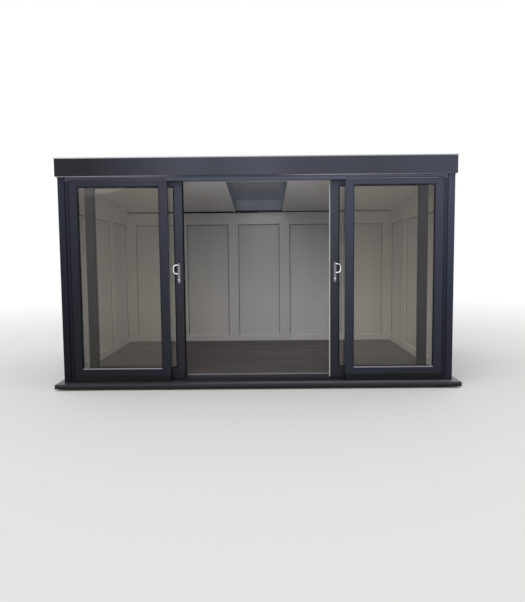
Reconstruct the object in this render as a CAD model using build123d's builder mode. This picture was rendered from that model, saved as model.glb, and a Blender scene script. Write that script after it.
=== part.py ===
"""Garden office pod: framed panel walls, a fascia roof with a rooflight strip, and two sliding glazed doors.

All sizes are in millimetres. X runs along the front from left to right, Y from the front to the
back and Z up. The origin is on the ground under the middle of the base. The two sliding doors
are drawn open, as they stand, each one behind the fixed pane beside it.
"""

from build123d import *
import os

os.makedirs("parts", exist_ok=True)

# Overall sizes.
POD_W = 4220.0  # outside width over the corner posts
POD_D = 2700.0  # outside depth over the walls
WALL_T = 100.0  # thickness of the framed walls
SEAT = 0.3  # gap between two pieces that stand face to face

# Base and floor.
BASE_H = 62.0  # height of the beams and joists that stand on the ground
BEAM_W = 80.0  # width of the base beams and joists
JOIST_COUNT = 11  # joists from one end wall to the other
DECK_T = 57.0  # thickness of the insulated floor deck
LAMINATE_T = 12.0  # thickness of the laminate boards
LEDGE_OUT = 80.0  # how far the ledge stands out from the walls
LEDGE_T = 14.0  # thickness of the ledge and of its nose
LEDGE_UP = 12.0  # height of the ledge at the wall above the beams
LEDGE_SLOPE = 6.0  # how far the ledge falls from the wall to its nose
LEDGE_NOSE_H = 50.0  # height of the nose that turns down
LEDGE_ROUND = 5.0  # rounding of the nose

# Roof. Its underside falls from the front to the back.
ROOF_FALL = 0.077  # drop per unit of depth
CEILING_STEP = 13.0  # height of the ceiling above the door head, at the front
CEILING_T = 12.0  # thickness of the ceiling boards
ROOF_T = 110.0  # thickness of the insulated roof panels

# Wall frames.
BAY_COUNT = 5  # bays in the back wall
CORNER_INFILL = 40.0  # infill between an end bay of the back wall and the corner
SOLE_H = 116.0  # height of the sole rail under the wall frames
WALL_RAIL_H = 49.0  # height of the rail at the foot and the top of a bay
HEADER_H = 152.0  # height of the back header that shows under the ceiling
STILE_W = 80.0  # width of one frame member beside a sunk panel
FRONT_STILE_W = 50.0  # side wall stile that stands against the door frame
SIDE_BAY = 866.0  # pitch of the side wall bays, counted from the back wall
PANEL_T = 64.0  # thickness of the sunk wall panels
BEAD = 10.0  # slope of the glazing bead around each panel
FIELD_IN = 42.0  # width of the flat border around the field of a sunk panel
FIELD_DEPTH = 4.0  # depth of that field
FIELD_TAPER = 45.0  # slope of the edges of that field, in degrees
JOINT_W = 3.0  # width of the joint line between two frames
JOINT_DEPTH = 6.0  # depth of the joint line

# Door frame.
POST_W = 79.0  # width of a front corner post
SHADOW_W = 8.0  # width of the shadow gap beside a front corner post
SHADOW_DEPTH = 12.0  # depth of the shadow gap
JAMB_W = 34.0  # width of a door jamb
HEAD_H = 60.0  # height of the door head
PLATE_H = 18.0  # thickness of the threshold plate
OPENING_H = 2109.0  # height from the finished floor to the door head
LIP_T = 10.0  # thickness of the strips behind the sliding doors
CHANNEL_PLAY = 12.0  # room above a sliding door in the head
RAIL_W = 8.0  # width of a running rail
RAIL_H = 8.0  # height of a running rail
EDGE = 3.0  # small slope on the outer edges of the frame profiles

# Fixed panes.
FIXED_EXTRA = 48.5  # how much wider a fixed pane is than half of its side of the front
FIXED_T = 60.0  # thickness of a fixed sash
FIXED_SET = 8.0  # how far a fixed sash is set back from the front
FIXED_ENTRY = 18.0  # how far a fixed sash stands up into the door head
KERB_H = 66.0  # height of the kerb under a fixed sash
FIXED_RAIL_H = 66.0  # height of the bottom rail of a fixed sash
TOP_RAIL_H = 59.0  # height of a top rail that shows under the door head
INNER_STILE_W = 90.0  # fixed stile beside the opening
OUTER_STILE_W = 90.0  # fixed stile beside the jamb
GLASS_T = 28.0  # thickness of a double glazed unit
REBATE = 12.0  # how far the glass goes into its sash
GLASS_PLAY = 0.3  # play around a glazed unit in its groove

# Sliding doors.
DOOR_T = 56.0  # thickness of a sliding door
TRACK_GAP = 10.0  # gap between a sliding door and the fixed sash before it
BACK_GAP = 6.0  # gap between a sliding door and the strips behind it
HEAD_GAP = 7.0  # gap between a sliding door and the front of the door head
RUN_GAP = 7.0  # gap between the running rail and the underside of a door
DOOR_ENTRY = 10.0  # how far a sliding door stands up into the head
MEET_GAP = 5.0  # gap between the two doors when they are closed
DOOR_OVERLAP = 110.5  # how far a closed door reaches behind the fixed pane
OPEN_GAP = 148.0  # gap between an open door and the jamb
LEAD_STILE_W = 102.0  # stile with the handle
LEAD_STEP = 9.0  # how far the inner half of that stile reaches past its outer half
TRAIL_STILE_W = 98.0  # stile at the back of the slide
DOOR_RAIL_H = 118.0  # height of the bottom rail
ROLLER_R = 12.0  # radius of a roller
ROLLER_W = 8.0  # width of a roller
CARRIAGE_L = 84.0  # length of a roller carriage
CARRIAGE_W = 20.0  # width of a roller carriage
CARRIAGE_H = 20.0  # height of a roller carriage
ROLLER_IN = 130.0  # distance from a roller to the end of its door

# Handles.
HANDLE_IN = 57.0  # middle of a handle plate, from the leading edge of its door
HANDLE_UP = 1124.0  # middle of a handle plate above the finished floor
PLATE_L = 224.0  # length of a handle plate
PLATE_W = 30.0  # width of a handle plate
PLATE_T = 9.0  # thickness of a handle plate
GRIP_OUT = 32.0  # distance from the plate to the middle of the grip
GRIP_BOW = 54.0  # how far the grip bows sideways from the plate
GRIP_TOP = 88.0  # height of the upper arm above the middle of the plate
GRIP_LOW = -6.0  # height of the lower arm above the middle of the plate
GRIP_D = 12.0  # diameter of the grip
GRIP_SIDES = 8  # flats around the grip
GRIP_BEND = 34.0  # bends above and below the upright part of the grip
GRIP_TURN = 14.0  # bends where the grip leaves the plate
LOCK_Z = -72.0  # height of the lock cylinder above the middle of the plate
LOCK_R = 8.5  # radius of the lock cylinder
LOCK_OUT = 5.0  # how far the lock cylinder stands out from the plate

# Rooflight.
SHAFT_X = 355.0  # half of the clear width of the rooflight shaft
CURB_T = 40.0  # thickness of the boards around the shaft
CURB_DROP = 6.0  # how far these boards show below the ceiling
CURB_UP = 40.0  # how far they stand above the roof
PANE_T = 24.0  # thickness of the rooflight glass
CAP_T = 16.0  # thickness of the bars beside the rooflight glass
CAP_OVER = 4.0  # how far these bars stand above the glass

# Fascia and roof edge.
FASCIA_H = 189.0  # height of the front fascia
FASCIA_OUT = 50.0  # how far the front fascia stands out
FASCIA_T = 18.0  # thickness of the front fascia board
SOFFIT_T = 12.0  # thickness of the soffit under the front fascia
SIDE_FASCIA_T = 9.0  # thickness of the side and back fascia boards
UPSTAND_T = 30.0  # thickness of the upstands at the roof edge
UPSTAND_H = 28.0  # height of the upstand above the roof at the front
TRIM_T = 6.0  # thickness of the trim along the roof edge
TRIM_LIP = 12.0  # height of the turned-down lip of the trim
TRIM_OUT = 4.0  # thickness of that lip
EAVES_LOW = 37.0  # how far the back fascia covers the wall under the roof
EAVES_STEP = 2.0  # gap between the top of the back fascia and the top of the roof
GUTTER_DROP = 40.0  # rim of the gutter below the top of the back fascia
GUTTER_H = 56.0  # height of the gutter
GUTTER_W = 64.0  # width of the gutter
GUTTER_WALL = 3.0  # thickness of the gutter's walls

# Plan positions that follow from the sizes.
WALL_X = POD_W / 2
WALL_Y = POD_D / 2
ROOM_X = WALL_X - WALL_T
ROOM_BACK_Y = WALL_Y - WALL_T
FRAME_X = WALL_X - POST_W
JAMB_X = FRAME_X - JAMB_W
FIXED_X = JAMB_X / 2 - FIXED_EXTRA
FIXED_BACK_Y = -WALL_Y + FIXED_SET + FIXED_T
DOOR_FRONT_Y = FIXED_BACK_Y + TRACK_GAP
DOOR_MID_Y = DOOR_FRONT_Y + DOOR_T / 2
DOOR_BACK_Y = DOOR_FRONT_Y + DOOR_T
DOOR_W = FIXED_X + DOOR_OVERLAP - MEET_GAP / 2
DOOR_X = JAMB_X - OPEN_GAP - DOOR_W
DOOR_MID_X = DOOR_X + DOOR_W / 2
HANDLE_X = DOOR_X + HANDLE_IN
LIP_Y = DOOR_BACK_Y + BACK_GAP
ROOM_FRONT_Y = LIP_Y + LIP_T
ROOM_D = ROOM_BACK_Y - ROOM_FRONT_Y
ROOM_MID_Y = (ROOM_BACK_Y + ROOM_FRONT_Y) / 2
FRAME_D = ROOM_FRONT_Y + WALL_Y
HEAD_FRONT_D = DOOR_FRONT_Y - HEAD_GAP + WALL_Y
CURB_X = SHAFT_X + CURB_T
EAVES_Y = WALL_Y + SEAT + SIDE_FASCIA_T

# Heights that follow from the sizes, all above the ground.
TRACK_Z = BASE_H + PLATE_H
FLOOR_Z = BASE_H + DECK_T + LAMINATE_T
SILL_TOP_Z = BASE_H + SOLE_H
RECESS_LOW_Z = SILL_TOP_Z + WALL_RAIL_H
HEAD_Z = FLOOR_Z + OPENING_H
BEAM_Z = HEAD_Z + HEAD_H
KERB_Z = TRACK_Z + KERB_H
GLASS_LOW_Z = KERB_Z + FIXED_RAIL_H
GLASS_TOP_Z = HEAD_Z - TOP_RAIL_H
DOOR_LOW_Z = TRACK_Z + RAIL_H + RUN_GAP
DOOR_TOP_Z = HEAD_Z + DOOR_ENTRY
DOOR_GLASS_LOW_Z = DOOR_LOW_Z + DOOR_RAIL_H
CHANNEL_Z = DOOR_TOP_Z + CHANNEL_PLAY
HANDLE_Z = FLOOR_Z + HANDLE_UP


def fall_z(y: float) -> float:
    """Returns the height of the ceiling's underside at the depth y."""
    return BEAM_Z + CEILING_STEP - ROOF_FALL * (y - ROOM_FRONT_Y)


def layer(y0: float, y1: float, low: float, high: float) -> list[tuple[float, float]]:
    """Returns the corners, in Y and Z, of a layer that follows the fall of the roof."""
    return [
        (y0, fall_z(y0) + low),
        (y1, fall_z(y1) + low),
        (y1, fall_z(y1) + high),
        (y0, fall_z(y0) + high),
    ]


# The roof panels lie on this plane, so the posts and the beams under them end at it.
ROOF_SEAT = Plane(
    origin=(0, 0, fall_z(0) + CEILING_T - SEAT),
    x_dir=(1, 0, 0),
    z_dir=(0, ROOF_FALL, 1),
)
PANEL_LOW = CEILING_T
PANEL_TOP = CEILING_T + ROOF_T
CURB_TOP = PANEL_TOP + CURB_UP
ROOF_HIGH_Z = fall_z(-WALL_Y) + PANEL_TOP
FRAME_TOP_Z = fall_z(ROOM_BACK_Y) - HEADER_H
RECESS_TOP_Z = FRAME_TOP_Z - WALL_RAIL_H
FIELD_H = RECESS_TOP_Z - RECESS_LOW_Z - 2 * FIELD_IN
FIELD_MID_Z = (RECESS_TOP_Z + RECESS_LOW_Z) / 2
PARAPET_Z = ROOF_HIGH_Z + UPSTAND_H
FASCIA_Z = PARAPET_Z - FASCIA_H
EAVES_TOP_Z = fall_z(WALL_Y) + PANEL_TOP - EAVES_STEP
EAVES_LOW_Z = fall_z(WALL_Y) + PANEL_LOW - EAVES_LOW
GUTTER_LOW_Z = EAVES_TOP_Z - GUTTER_DROP - GUTTER_H

# Base and floor.

with BuildPart() as base_frame:
    with BuildSketch():
        with GridLocations(0, POD_D - BEAM_W, 1, 2):
            Rectangle(POD_W, BEAM_W)
        with GridLocations((POD_W - BEAM_W) / (JOIST_COUNT - 1), 0, JOIST_COUNT, 1):
            Rectangle(BEAM_W, POD_D - 2 * BEAM_W - 2 * SEAT)
    extrude(amount=BASE_H)

LEDGE_WALL_Z = BASE_H + LEDGE_UP
LEDGE_NOSE_Z = LEDGE_WALL_Z - LEDGE_SLOPE
LEDGE_PROFILE = [
    (SEAT, LEDGE_WALL_Z),
    (LEDGE_OUT, LEDGE_NOSE_Z),
    (LEDGE_OUT, LEDGE_NOSE_Z - LEDGE_NOSE_H),
    (LEDGE_OUT - LEDGE_T, LEDGE_NOSE_Z - LEDGE_NOSE_H),
    (LEDGE_OUT - LEDGE_T, LEDGE_NOSE_Z - LEDGE_T),
    (SEAT, LEDGE_WALL_Z - LEDGE_T),
]
# The ledge is mitred at the corners of the pod.
FRONT_MITRE = Plane(origin=(WALL_X - SEAT / 2, -WALL_Y, 0), z_dir=(1, 1, 0))
SIDE_MITRE = Plane(origin=(WALL_X + SEAT / 2, -WALL_Y, 0), z_dir=(1, 1, 0))

with BuildPart() as front_ledge:
    # The nose turns down at the front and leaves a drip gap behind it.
    with BuildSketch(Plane.YZ):
        with BuildLine():
            Polyline(*[(-WALL_Y - u, z) for u, z in LEDGE_PROFILE], close=True)
        make_face()
    extrude(amount=WALL_X + LEDGE_OUT)
    fillet(front_ledge.edges().filter_by(Axis.X).group_by(Axis.Y)[0], LEDGE_ROUND)
    split(bisect_by=FRONT_MITRE, keep=Keep.BOTTOM)
    mirror(about=Plane.YZ)

with BuildPart() as back_ledge:
    add(front_ledge.part)
    mirror(about=Plane.XZ, mode=Mode.REPLACE)

with BuildPart() as side_ledges:
    with BuildSketch(Plane.XZ):
        with BuildLine():
            Polyline(*[(WALL_X + u, z) for u, z in LEDGE_PROFILE], close=True)
        make_face()
    extrude(amount=WALL_Y + LEDGE_OUT)
    fillet(side_ledges.edges().filter_by(Axis.Y).group_by(Axis.X)[-1], LEDGE_ROUND)
    split(bisect_by=SIDE_MITRE, keep=Keep.TOP)
    mirror(about=Plane.XZ)
    mirror(about=Plane.YZ)

with BuildPart() as floor_deck:
    with BuildSketch(Plane.XY.offset(BASE_H)):
        with Locations((0, ROOM_MID_Y)):
            Rectangle(2 * ROOM_X, ROOM_D)
    extrude(amount=FLOOR_Z - LAMINATE_T - BASE_H)

with BuildPart() as laminate_floor:
    with BuildSketch(Plane.XY.offset(FLOOR_Z - LAMINATE_T)):
        with Locations((0, ROOM_MID_Y)):
            Rectangle(2 * ROOM_X, ROOM_D)
    extrude(amount=LAMINATE_T)

# Posts, sole rails and headers.

with BuildPart() as front_posts:
    with BuildSketch(Plane.XY.offset(BASE_H)):
        with Locations((WALL_X - POST_W / 2, -WALL_Y + FRAME_D / 2)):
            Rectangle(POST_W, FRAME_D)
        # Shadow gap between the post and the door jamb.
        with Locations((FRAME_X + SHADOW_W / 2, -WALL_Y + SHADOW_DEPTH / 2)):
            Rectangle(SHADOW_W, SHADOW_DEPTH, mode=Mode.SUBTRACT)
    extrude(amount=BEAM_Z - BASE_H)
    outer = front_posts.edges().filter_by(Axis.Z).group_by(Axis.X)[-1]
    chamfer(outer.sort_by(Axis.Y)[0], EDGE)
    mirror(about=Plane.YZ)

with BuildPart() as back_posts:
    with BuildSketch(Plane.XY.offset(BASE_H)):
        with Locations((WALL_X - WALL_T / 2, WALL_Y - WALL_T / 2)):
            Rectangle(WALL_T, WALL_T)
    extrude(amount=ROOF_HIGH_Z - BASE_H)
    outer = back_posts.edges().filter_by(Axis.Z).group_by(Axis.X)[-1]
    chamfer(outer.sort_by(Axis.Y)[-1], EDGE)
    split(bisect_by=ROOF_SEAT, keep=Keep.BOTTOM)
    mirror(about=Plane.YZ)

with BuildPart() as wall_sills:
    with BuildSketch(Plane.XY.offset(BASE_H)):
        with Locations((0, WALL_Y - WALL_T / 2)):
            Rectangle(2 * ROOM_X, WALL_T)
        with Locations((-ROOM_X - WALL_T / 2, ROOM_MID_Y), (ROOM_X + WALL_T / 2, ROOM_MID_Y)):
            Rectangle(WALL_T, ROOM_D - 2 * SEAT)
    extrude(amount=SILL_TOP_Z - BASE_H)

with BuildPart() as wall_headers:
    with BuildSketch(Plane.XY.offset(FRAME_TOP_Z)):
        with Locations((0, WALL_Y - WALL_T / 2)):
            Rectangle(2 * ROOM_X, WALL_T)
        with Locations((-ROOM_X - WALL_T / 2, ROOM_MID_Y), (ROOM_X + WALL_T / 2, ROOM_MID_Y)):
            Rectangle(WALL_T, ROOM_D - 2 * SEAT)
    extrude(amount=ROOF_HIGH_Z - FRAME_TOP_Z)
    # Beam over the door head and both front posts.
    with BuildSketch(Plane.XY.offset(BEAM_Z)):
        with Locations((0, -WALL_Y + FRAME_D / 2)):
            Rectangle(POD_W, FRAME_D)
    extrude(amount=ROOF_HIGH_Z - BEAM_Z)
    split(bisect_by=ROOF_SEAT, keep=Keep.BOTTOM)

# Framed walls. Each bay is a frame with a sunk panel in it.

BAY_W = 2 * (ROOM_X - CORNER_INFILL) / BAY_COUNT
BACK_BAYS = [BAY_W * (i - (BAY_COUNT - 1) / 2) for i in range(BAY_COUNT)]
BACK_JOINTS = [BAY_W * (i + 1 - BAY_COUNT / 2) for i in range(BAY_COUNT - 1)]
BACK_MID_Y = WALL_Y - WALL_T / 2
PANEL_W = BAY_W - 2 * STILE_W
END_STILE_W = STILE_W + CORNER_INFILL

with BuildPart() as back_wall_frames:
    # Rails at the foot and the top of each bay.
    for low, high, edge in (
        (SILL_TOP_Z, RECESS_LOW_Z, -1),
        (RECESS_TOP_Z, FRAME_TOP_Z, 0),
    ):
        with BuildSketch(Plane.XY.offset(low)):
            with Locations(*[(x, BACK_MID_Y) for x in BACK_BAYS]):
                Rectangle(PANEL_W - 2 * SEAT, WALL_T)
        extrude(amount=high - low)
        rail_edges = back_wall_frames.edges(Select.LAST).filter_by(Axis.X)
        chamfer(rail_edges.group_by(Axis.Z)[edge], BEAD)
    # Two stiles stand side by side between bays, so each pair is drawn as one with a joint line.
    with BuildSketch(Plane.XY.offset(SILL_TOP_Z)):
        with Locations(*[(x, BACK_MID_Y) for x in BACK_JOINTS]):
            Rectangle(2 * STILE_W, WALL_T)
        for face in (-1, 1):
            joint_y = BACK_MID_Y + face * (WALL_T - JOINT_DEPTH) / 2
            with Locations(*[(x, joint_y) for x in BACK_JOINTS]):
                Rectangle(JOINT_W, JOINT_DEPTH, mode=Mode.SUBTRACT)
    extrude(amount=FRAME_TOP_Z - SILL_TOP_Z)
    stile_edges = back_wall_frames.edges(Select.LAST).filter_by(Axis.Z)
    beads = [
        e
        for e in stile_edges
        if any(abs(abs(e.center().X - x) - STILE_W) < EDGE for x in BACK_JOINTS)
    ]
    chamfer(beads, BEAD)
    with BuildSketch(Plane.XY.offset(SILL_TOP_Z)):
        with Locations(*[(s * (ROOM_X - END_STILE_W / 2), BACK_MID_Y) for s in (-1, 1)]):
            Rectangle(END_STILE_W, WALL_T)
    extrude(amount=FRAME_TOP_Z - SILL_TOP_Z)
    end_edges = back_wall_frames.edges(Select.LAST).filter_by(Axis.Z)
    chamfer([e for e in end_edges if abs(e.center().X) < ROOM_X - END_STILE_W / 2], BEAD)

with BuildPart() as back_wall_panels:
    with BuildSketch(Plane.XY.offset(RECESS_LOW_Z)):
        with Locations(*[(x, BACK_MID_Y) for x in BACK_BAYS]):
            Rectangle(PANEL_W - 2 * SEAT, PANEL_T)
    extrude(amount=RECESS_TOP_Z - RECESS_LOW_Z)
    # A shallow field in the room face and in the outer face of each panel.
    for face in (-1, 1):
        with BuildSketch(Plane.XZ.offset(-BACK_MID_Y - face * PANEL_T / 2)):
            with Locations(*[(x, FIELD_MID_Z) for x in BACK_BAYS]):
                Rectangle(PANEL_W - 2 * FIELD_IN, FIELD_H)
        extrude(amount=face * FIELD_DEPTH, taper=FIELD_TAPER, mode=Mode.SUBTRACT)

# The side walls have three bays. The front one is narrower, because the door frame stands in it.
SIDE_JOINTS = [ROOM_BACK_Y - SIDE_BAY, ROOM_BACK_Y - 2 * SIDE_BAY]
SIDE_EDGES = [
    (SIDE_JOINTS[0] + STILE_W, ROOM_BACK_Y - STILE_W),
    (SIDE_JOINTS[1] + STILE_W, SIDE_JOINTS[0] - STILE_W),
    (ROOM_FRONT_Y + FRONT_STILE_W, SIDE_JOINTS[1] - STILE_W),
]
SIDE_MID_X = WALL_X - WALL_T / 2

with BuildPart() as right_wall_frames:
    for low, high, edge in (
        (SILL_TOP_Z, RECESS_LOW_Z, -1),
        (RECESS_TOP_Z, FRAME_TOP_Z, 0),
    ):
        with BuildSketch(Plane.XY.offset(low)):
            for y0, y1 in SIDE_EDGES:
                with Locations((SIDE_MID_X, (y0 + y1) / 2)):
                    Rectangle(WALL_T, y1 - y0 - 2 * SEAT)
        extrude(amount=high - low)
        rail_edges = right_wall_frames.edges(Select.LAST).filter_by(Axis.Y)
        chamfer(rail_edges.group_by(Axis.Z)[edge], BEAD)
    with BuildSketch(Plane.XY.offset(SILL_TOP_Z)):
        with Locations(*[(SIDE_MID_X, y) for y in SIDE_JOINTS]):
            Rectangle(WALL_T, 2 * STILE_W)
        for face in (-1, 1):
            joint_x = SIDE_MID_X + face * (WALL_T - JOINT_DEPTH) / 2
            with Locations(*[(joint_x, y) for y in SIDE_JOINTS]):
                Rectangle(JOINT_DEPTH, JOINT_W, mode=Mode.SUBTRACT)
    extrude(amount=FRAME_TOP_Z - SILL_TOP_Z)
    stile_edges = right_wall_frames.edges(Select.LAST).filter_by(Axis.Z)
    beads = [
        e
        for e in stile_edges
        if any(abs(abs(e.center().Y - y) - STILE_W) < EDGE for y in SIDE_JOINTS)
    ]
    chamfer(beads, BEAD)
    with BuildSketch(Plane.XY.offset(SILL_TOP_Z)):
        with Locations((SIDE_MID_X, ROOM_BACK_Y - STILE_W / 2)):
            Rectangle(WALL_T, STILE_W)
        with Locations((SIDE_MID_X, ROOM_FRONT_Y + FRONT_STILE_W / 2)):
            Rectangle(WALL_T, FRONT_STILE_W)
    extrude(amount=FRAME_TOP_Z - SILL_TOP_Z)
    end_edges = right_wall_frames.edges(Select.LAST).filter_by(Axis.Z)
    bead_ys = (ROOM_BACK_Y - STILE_W, ROOM_FRONT_Y + FRONT_STILE_W)
    chamfer([e for e in end_edges if min(abs(e.center().Y - y) for y in bead_ys) < EDGE], BEAD)

with BuildPart() as right_wall_panels:
    with BuildSketch(Plane.XY.offset(RECESS_LOW_Z)):
        for y0, y1 in SIDE_EDGES:
            with Locations((SIDE_MID_X, (y0 + y1) / 2)):
                Rectangle(PANEL_T, y1 - y0 - 2 * SEAT)
    extrude(amount=RECESS_TOP_Z - RECESS_LOW_Z)
    for face in (-1, 1):
        with BuildSketch(Plane.YZ.offset(SIDE_MID_X + face * PANEL_T / 2)):
            for y0, y1 in SIDE_EDGES:
                with Locations(((y0 + y1) / 2, FIELD_MID_Z)):
                    Rectangle(y1 - y0 - 2 * FIELD_IN, FIELD_H)
        extrude(amount=-face * FIELD_DEPTH, taper=FIELD_TAPER, mode=Mode.SUBTRACT)

with BuildPart() as left_wall_frames:
    add(right_wall_frames.part)
    mirror(about=Plane.YZ, mode=Mode.REPLACE)

with BuildPart() as left_wall_panels:
    add(right_wall_panels.part)
    mirror(about=Plane.YZ, mode=Mode.REPLACE)

# Door frame with its two tracks.

with BuildPart() as door_threshold:
    with BuildSketch(Plane.XY.offset(BASE_H)):
        with Locations((0, -WALL_Y + FRAME_D / 2)):
            Rectangle(2 * FRAME_X, FRAME_D)
    extrude(amount=TRACK_Z - BASE_H)
    front_edge = door_threshold.edges().filter_by(Axis.X).group_by(Axis.Y)[0]
    chamfer(front_edge.sort_by(Axis.Z)[-1], EDGE)

with BuildPart() as track_rails:
    # The sliding doors run on the inner rail. The outer one lies between the fixed kerbs.
    with BuildSketch(Plane.XY.offset(TRACK_Z)):
        with Locations((0, DOOR_MID_Y)):
            Rectangle(2 * (JAMB_X - SEAT), RAIL_W)
        with Locations((0, FIXED_BACK_Y - FIXED_T / 2)):
            Rectangle(2 * (FIXED_X - SEAT), RAIL_W)
    extrude(amount=RAIL_H)
    fillet(track_rails.faces().sort_by(Axis.Z)[-2:].edges().filter_by(Axis.X), RAIL_W / 4)

with BuildPart() as floor_edge_strip:
    with BuildSketch(Plane.XY.offset(TRACK_Z)):
        with Locations((0, LIP_Y + LIP_T / 2)):
            Rectangle(2 * (JAMB_X - SEAT), LIP_T)
    extrude(amount=FLOOR_Z - TRACK_Z)

with BuildPart() as fixed_kerbs:
    with BuildSketch(Plane.XY.offset(TRACK_Z)):
        with Locations(((FIXED_X + JAMB_X) / 2, FIXED_BACK_Y - (FIXED_T + FIXED_SET) / 2)):
            Rectangle(JAMB_X - FIXED_X - 2 * SEAT, FIXED_T + FIXED_SET)
    extrude(amount=KERB_Z - TRACK_Z)
    front_edge = fixed_kerbs.edges().filter_by(Axis.X).group_by(Axis.Y)[0]
    chamfer(front_edge.sort_by(Axis.Z)[-1], EDGE)
    mirror(about=Plane.YZ)

with BuildPart() as door_jambs:
    with BuildSketch(Plane.XY.offset(TRACK_Z)):
        with Locations((FRAME_X - JAMB_W / 2, -WALL_Y + FRAME_D / 2)):
            Rectangle(JAMB_W, FRAME_D)
    extrude(amount=HEAD_Z - TRACK_Z)
    front_edge = door_jambs.edges().filter_by(Axis.Z).group_by(Axis.Y)[0]
    chamfer(front_edge, EDGE)
    mirror(about=Plane.YZ)

with BuildPart() as door_head:
    with BuildSketch(Plane.XZ.offset(WALL_Y - HEAD_FRONT_D)):
        with Locations((0, (BEAM_Z + HEAD_Z) / 2)):
            Rectangle(2 * FRAME_X, BEAM_Z - HEAD_Z)
        # The head is cut higher over the fixed sashes, which stand up into it.
        with Locations(*[(s * (FIXED_X + JAMB_X) / 2, HEAD_Z + FIXED_ENTRY / 2) for s in (-1, 1)]):
            Rectangle(JAMB_X - FIXED_X, FIXED_ENTRY, mode=Mode.SUBTRACT)
    extrude(amount=HEAD_FRONT_D)
    front_edges = door_head.edges().filter_by(Axis.X).group_by(Axis.Y)[0]
    chamfer([e for e in front_edges if e.center().Z < BEAM_Z - EDGE], EDGE)

with BuildPart() as head_channel:
    # Roof of the channel, and the strip that closes it on the room side.
    with BuildSketch(Plane.XY.offset(CHANNEL_Z)):
        with Locations((0, (-WALL_Y + HEAD_FRONT_D + LIP_Y) / 2)):
            Rectangle(2 * FRAME_X, LIP_Y + WALL_Y - HEAD_FRONT_D - 2 * SEAT)
    extrude(amount=BEAM_Z - CHANNEL_Z)
    with BuildSketch(Plane.XY.offset(HEAD_Z)):
        with Locations((0, LIP_Y + LIP_T / 2)):
            Rectangle(2 * FRAME_X, LIP_T)
    extrude(amount=BEAM_Z - HEAD_Z)

# Fixed panes.

FIXED_W = JAMB_X - FIXED_X - 2 * SEAT
FIXED_MID_X = (FIXED_X + JAMB_X) / 2
FIXED_LOW_Z = KERB_Z + SEAT
FIXED_TOP_Z = HEAD_Z + FIXED_ENTRY - SEAT
FIXED_GLASS_X0 = FIXED_X + INNER_STILE_W
FIXED_GLASS_X1 = JAMB_X - OUTER_STILE_W
FIXED_GLASS_W = FIXED_GLASS_X1 - FIXED_GLASS_X0
FIXED_GLASS_MID = (FIXED_GLASS_X0 + FIXED_GLASS_X1) / 2
SIGHT_H = GLASS_TOP_Z - GLASS_LOW_Z
SIGHT_MID_Z = (GLASS_TOP_Z + GLASS_LOW_Z) / 2

with BuildPart() as right_fixed_sash:
    with BuildSketch(Plane.XZ.offset(-FIXED_BACK_Y)):
        with Locations((FIXED_MID_X, (FIXED_LOW_Z + FIXED_TOP_Z) / 2)):
            Rectangle(FIXED_W, FIXED_TOP_Z - FIXED_LOW_Z)
        with Locations((FIXED_GLASS_MID, SIGHT_MID_Z)):
            Rectangle(FIXED_GLASS_W, SIGHT_H, mode=Mode.SUBTRACT)
    extrude(amount=FIXED_T)
    sight_edges = [
        e
        for e in right_fixed_sash.edges().filter_by(Axis.Y, reverse=True)
        if FIXED_GLASS_X0 - EDGE < e.center().X < FIXED_GLASS_X1 + EDGE
        and GLASS_LOW_Z - EDGE < e.center().Z < GLASS_TOP_Z + EDGE
    ]
    chamfer(sight_edges, BEAD)
    # Groove that holds the edges of the glazed unit.
    with BuildSketch(Plane.XZ.offset(-FIXED_BACK_Y + (FIXED_T - GLASS_T) / 2 - GLASS_PLAY)):
        with Locations((FIXED_GLASS_MID, SIGHT_MID_Z)):
            Rectangle(FIXED_GLASS_W + 2 * REBATE, SIGHT_H + 2 * REBATE)
    extrude(amount=GLASS_T + 2 * GLASS_PLAY, mode=Mode.SUBTRACT)

with BuildPart() as left_fixed_sash:
    add(right_fixed_sash.part)
    mirror(about=Plane.YZ, mode=Mode.REPLACE)

with BuildPart() as fixed_glass:
    with BuildSketch(Plane.XZ.offset(-FIXED_BACK_Y + (FIXED_T - GLASS_T) / 2)):
        with Locations((FIXED_GLASS_MID, SIGHT_MID_Z)):
            Rectangle(
                FIXED_GLASS_W + 2 * (REBATE - GLASS_PLAY),
                SIGHT_H + 2 * (REBATE - GLASS_PLAY),
            )
    extrude(amount=GLASS_T)
    mirror(about=Plane.YZ)

# Sliding doors.

DOOR_GLASS_X0 = DOOR_X + LEAD_STILE_W
DOOR_GLASS_X1 = DOOR_X + DOOR_W - TRAIL_STILE_W
DOOR_GLASS_W = DOOR_GLASS_X1 - DOOR_GLASS_X0
DOOR_GLASS_MID = (DOOR_GLASS_X0 + DOOR_GLASS_X1) / 2
DOOR_SIGHT_H = GLASS_TOP_Z - DOOR_GLASS_LOW_Z
DOOR_SIGHT_MID_Z = (GLASS_TOP_Z + DOOR_GLASS_LOW_Z) / 2
ROLLER_XS = (DOOR_X + ROLLER_IN, DOOR_X + DOOR_W - ROLLER_IN)
ROLLER_Z = TRACK_Z + RAIL_H + SEAT + ROLLER_R
CARRIAGE_Z = DOOR_LOW_Z + EDGE / 2

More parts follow.
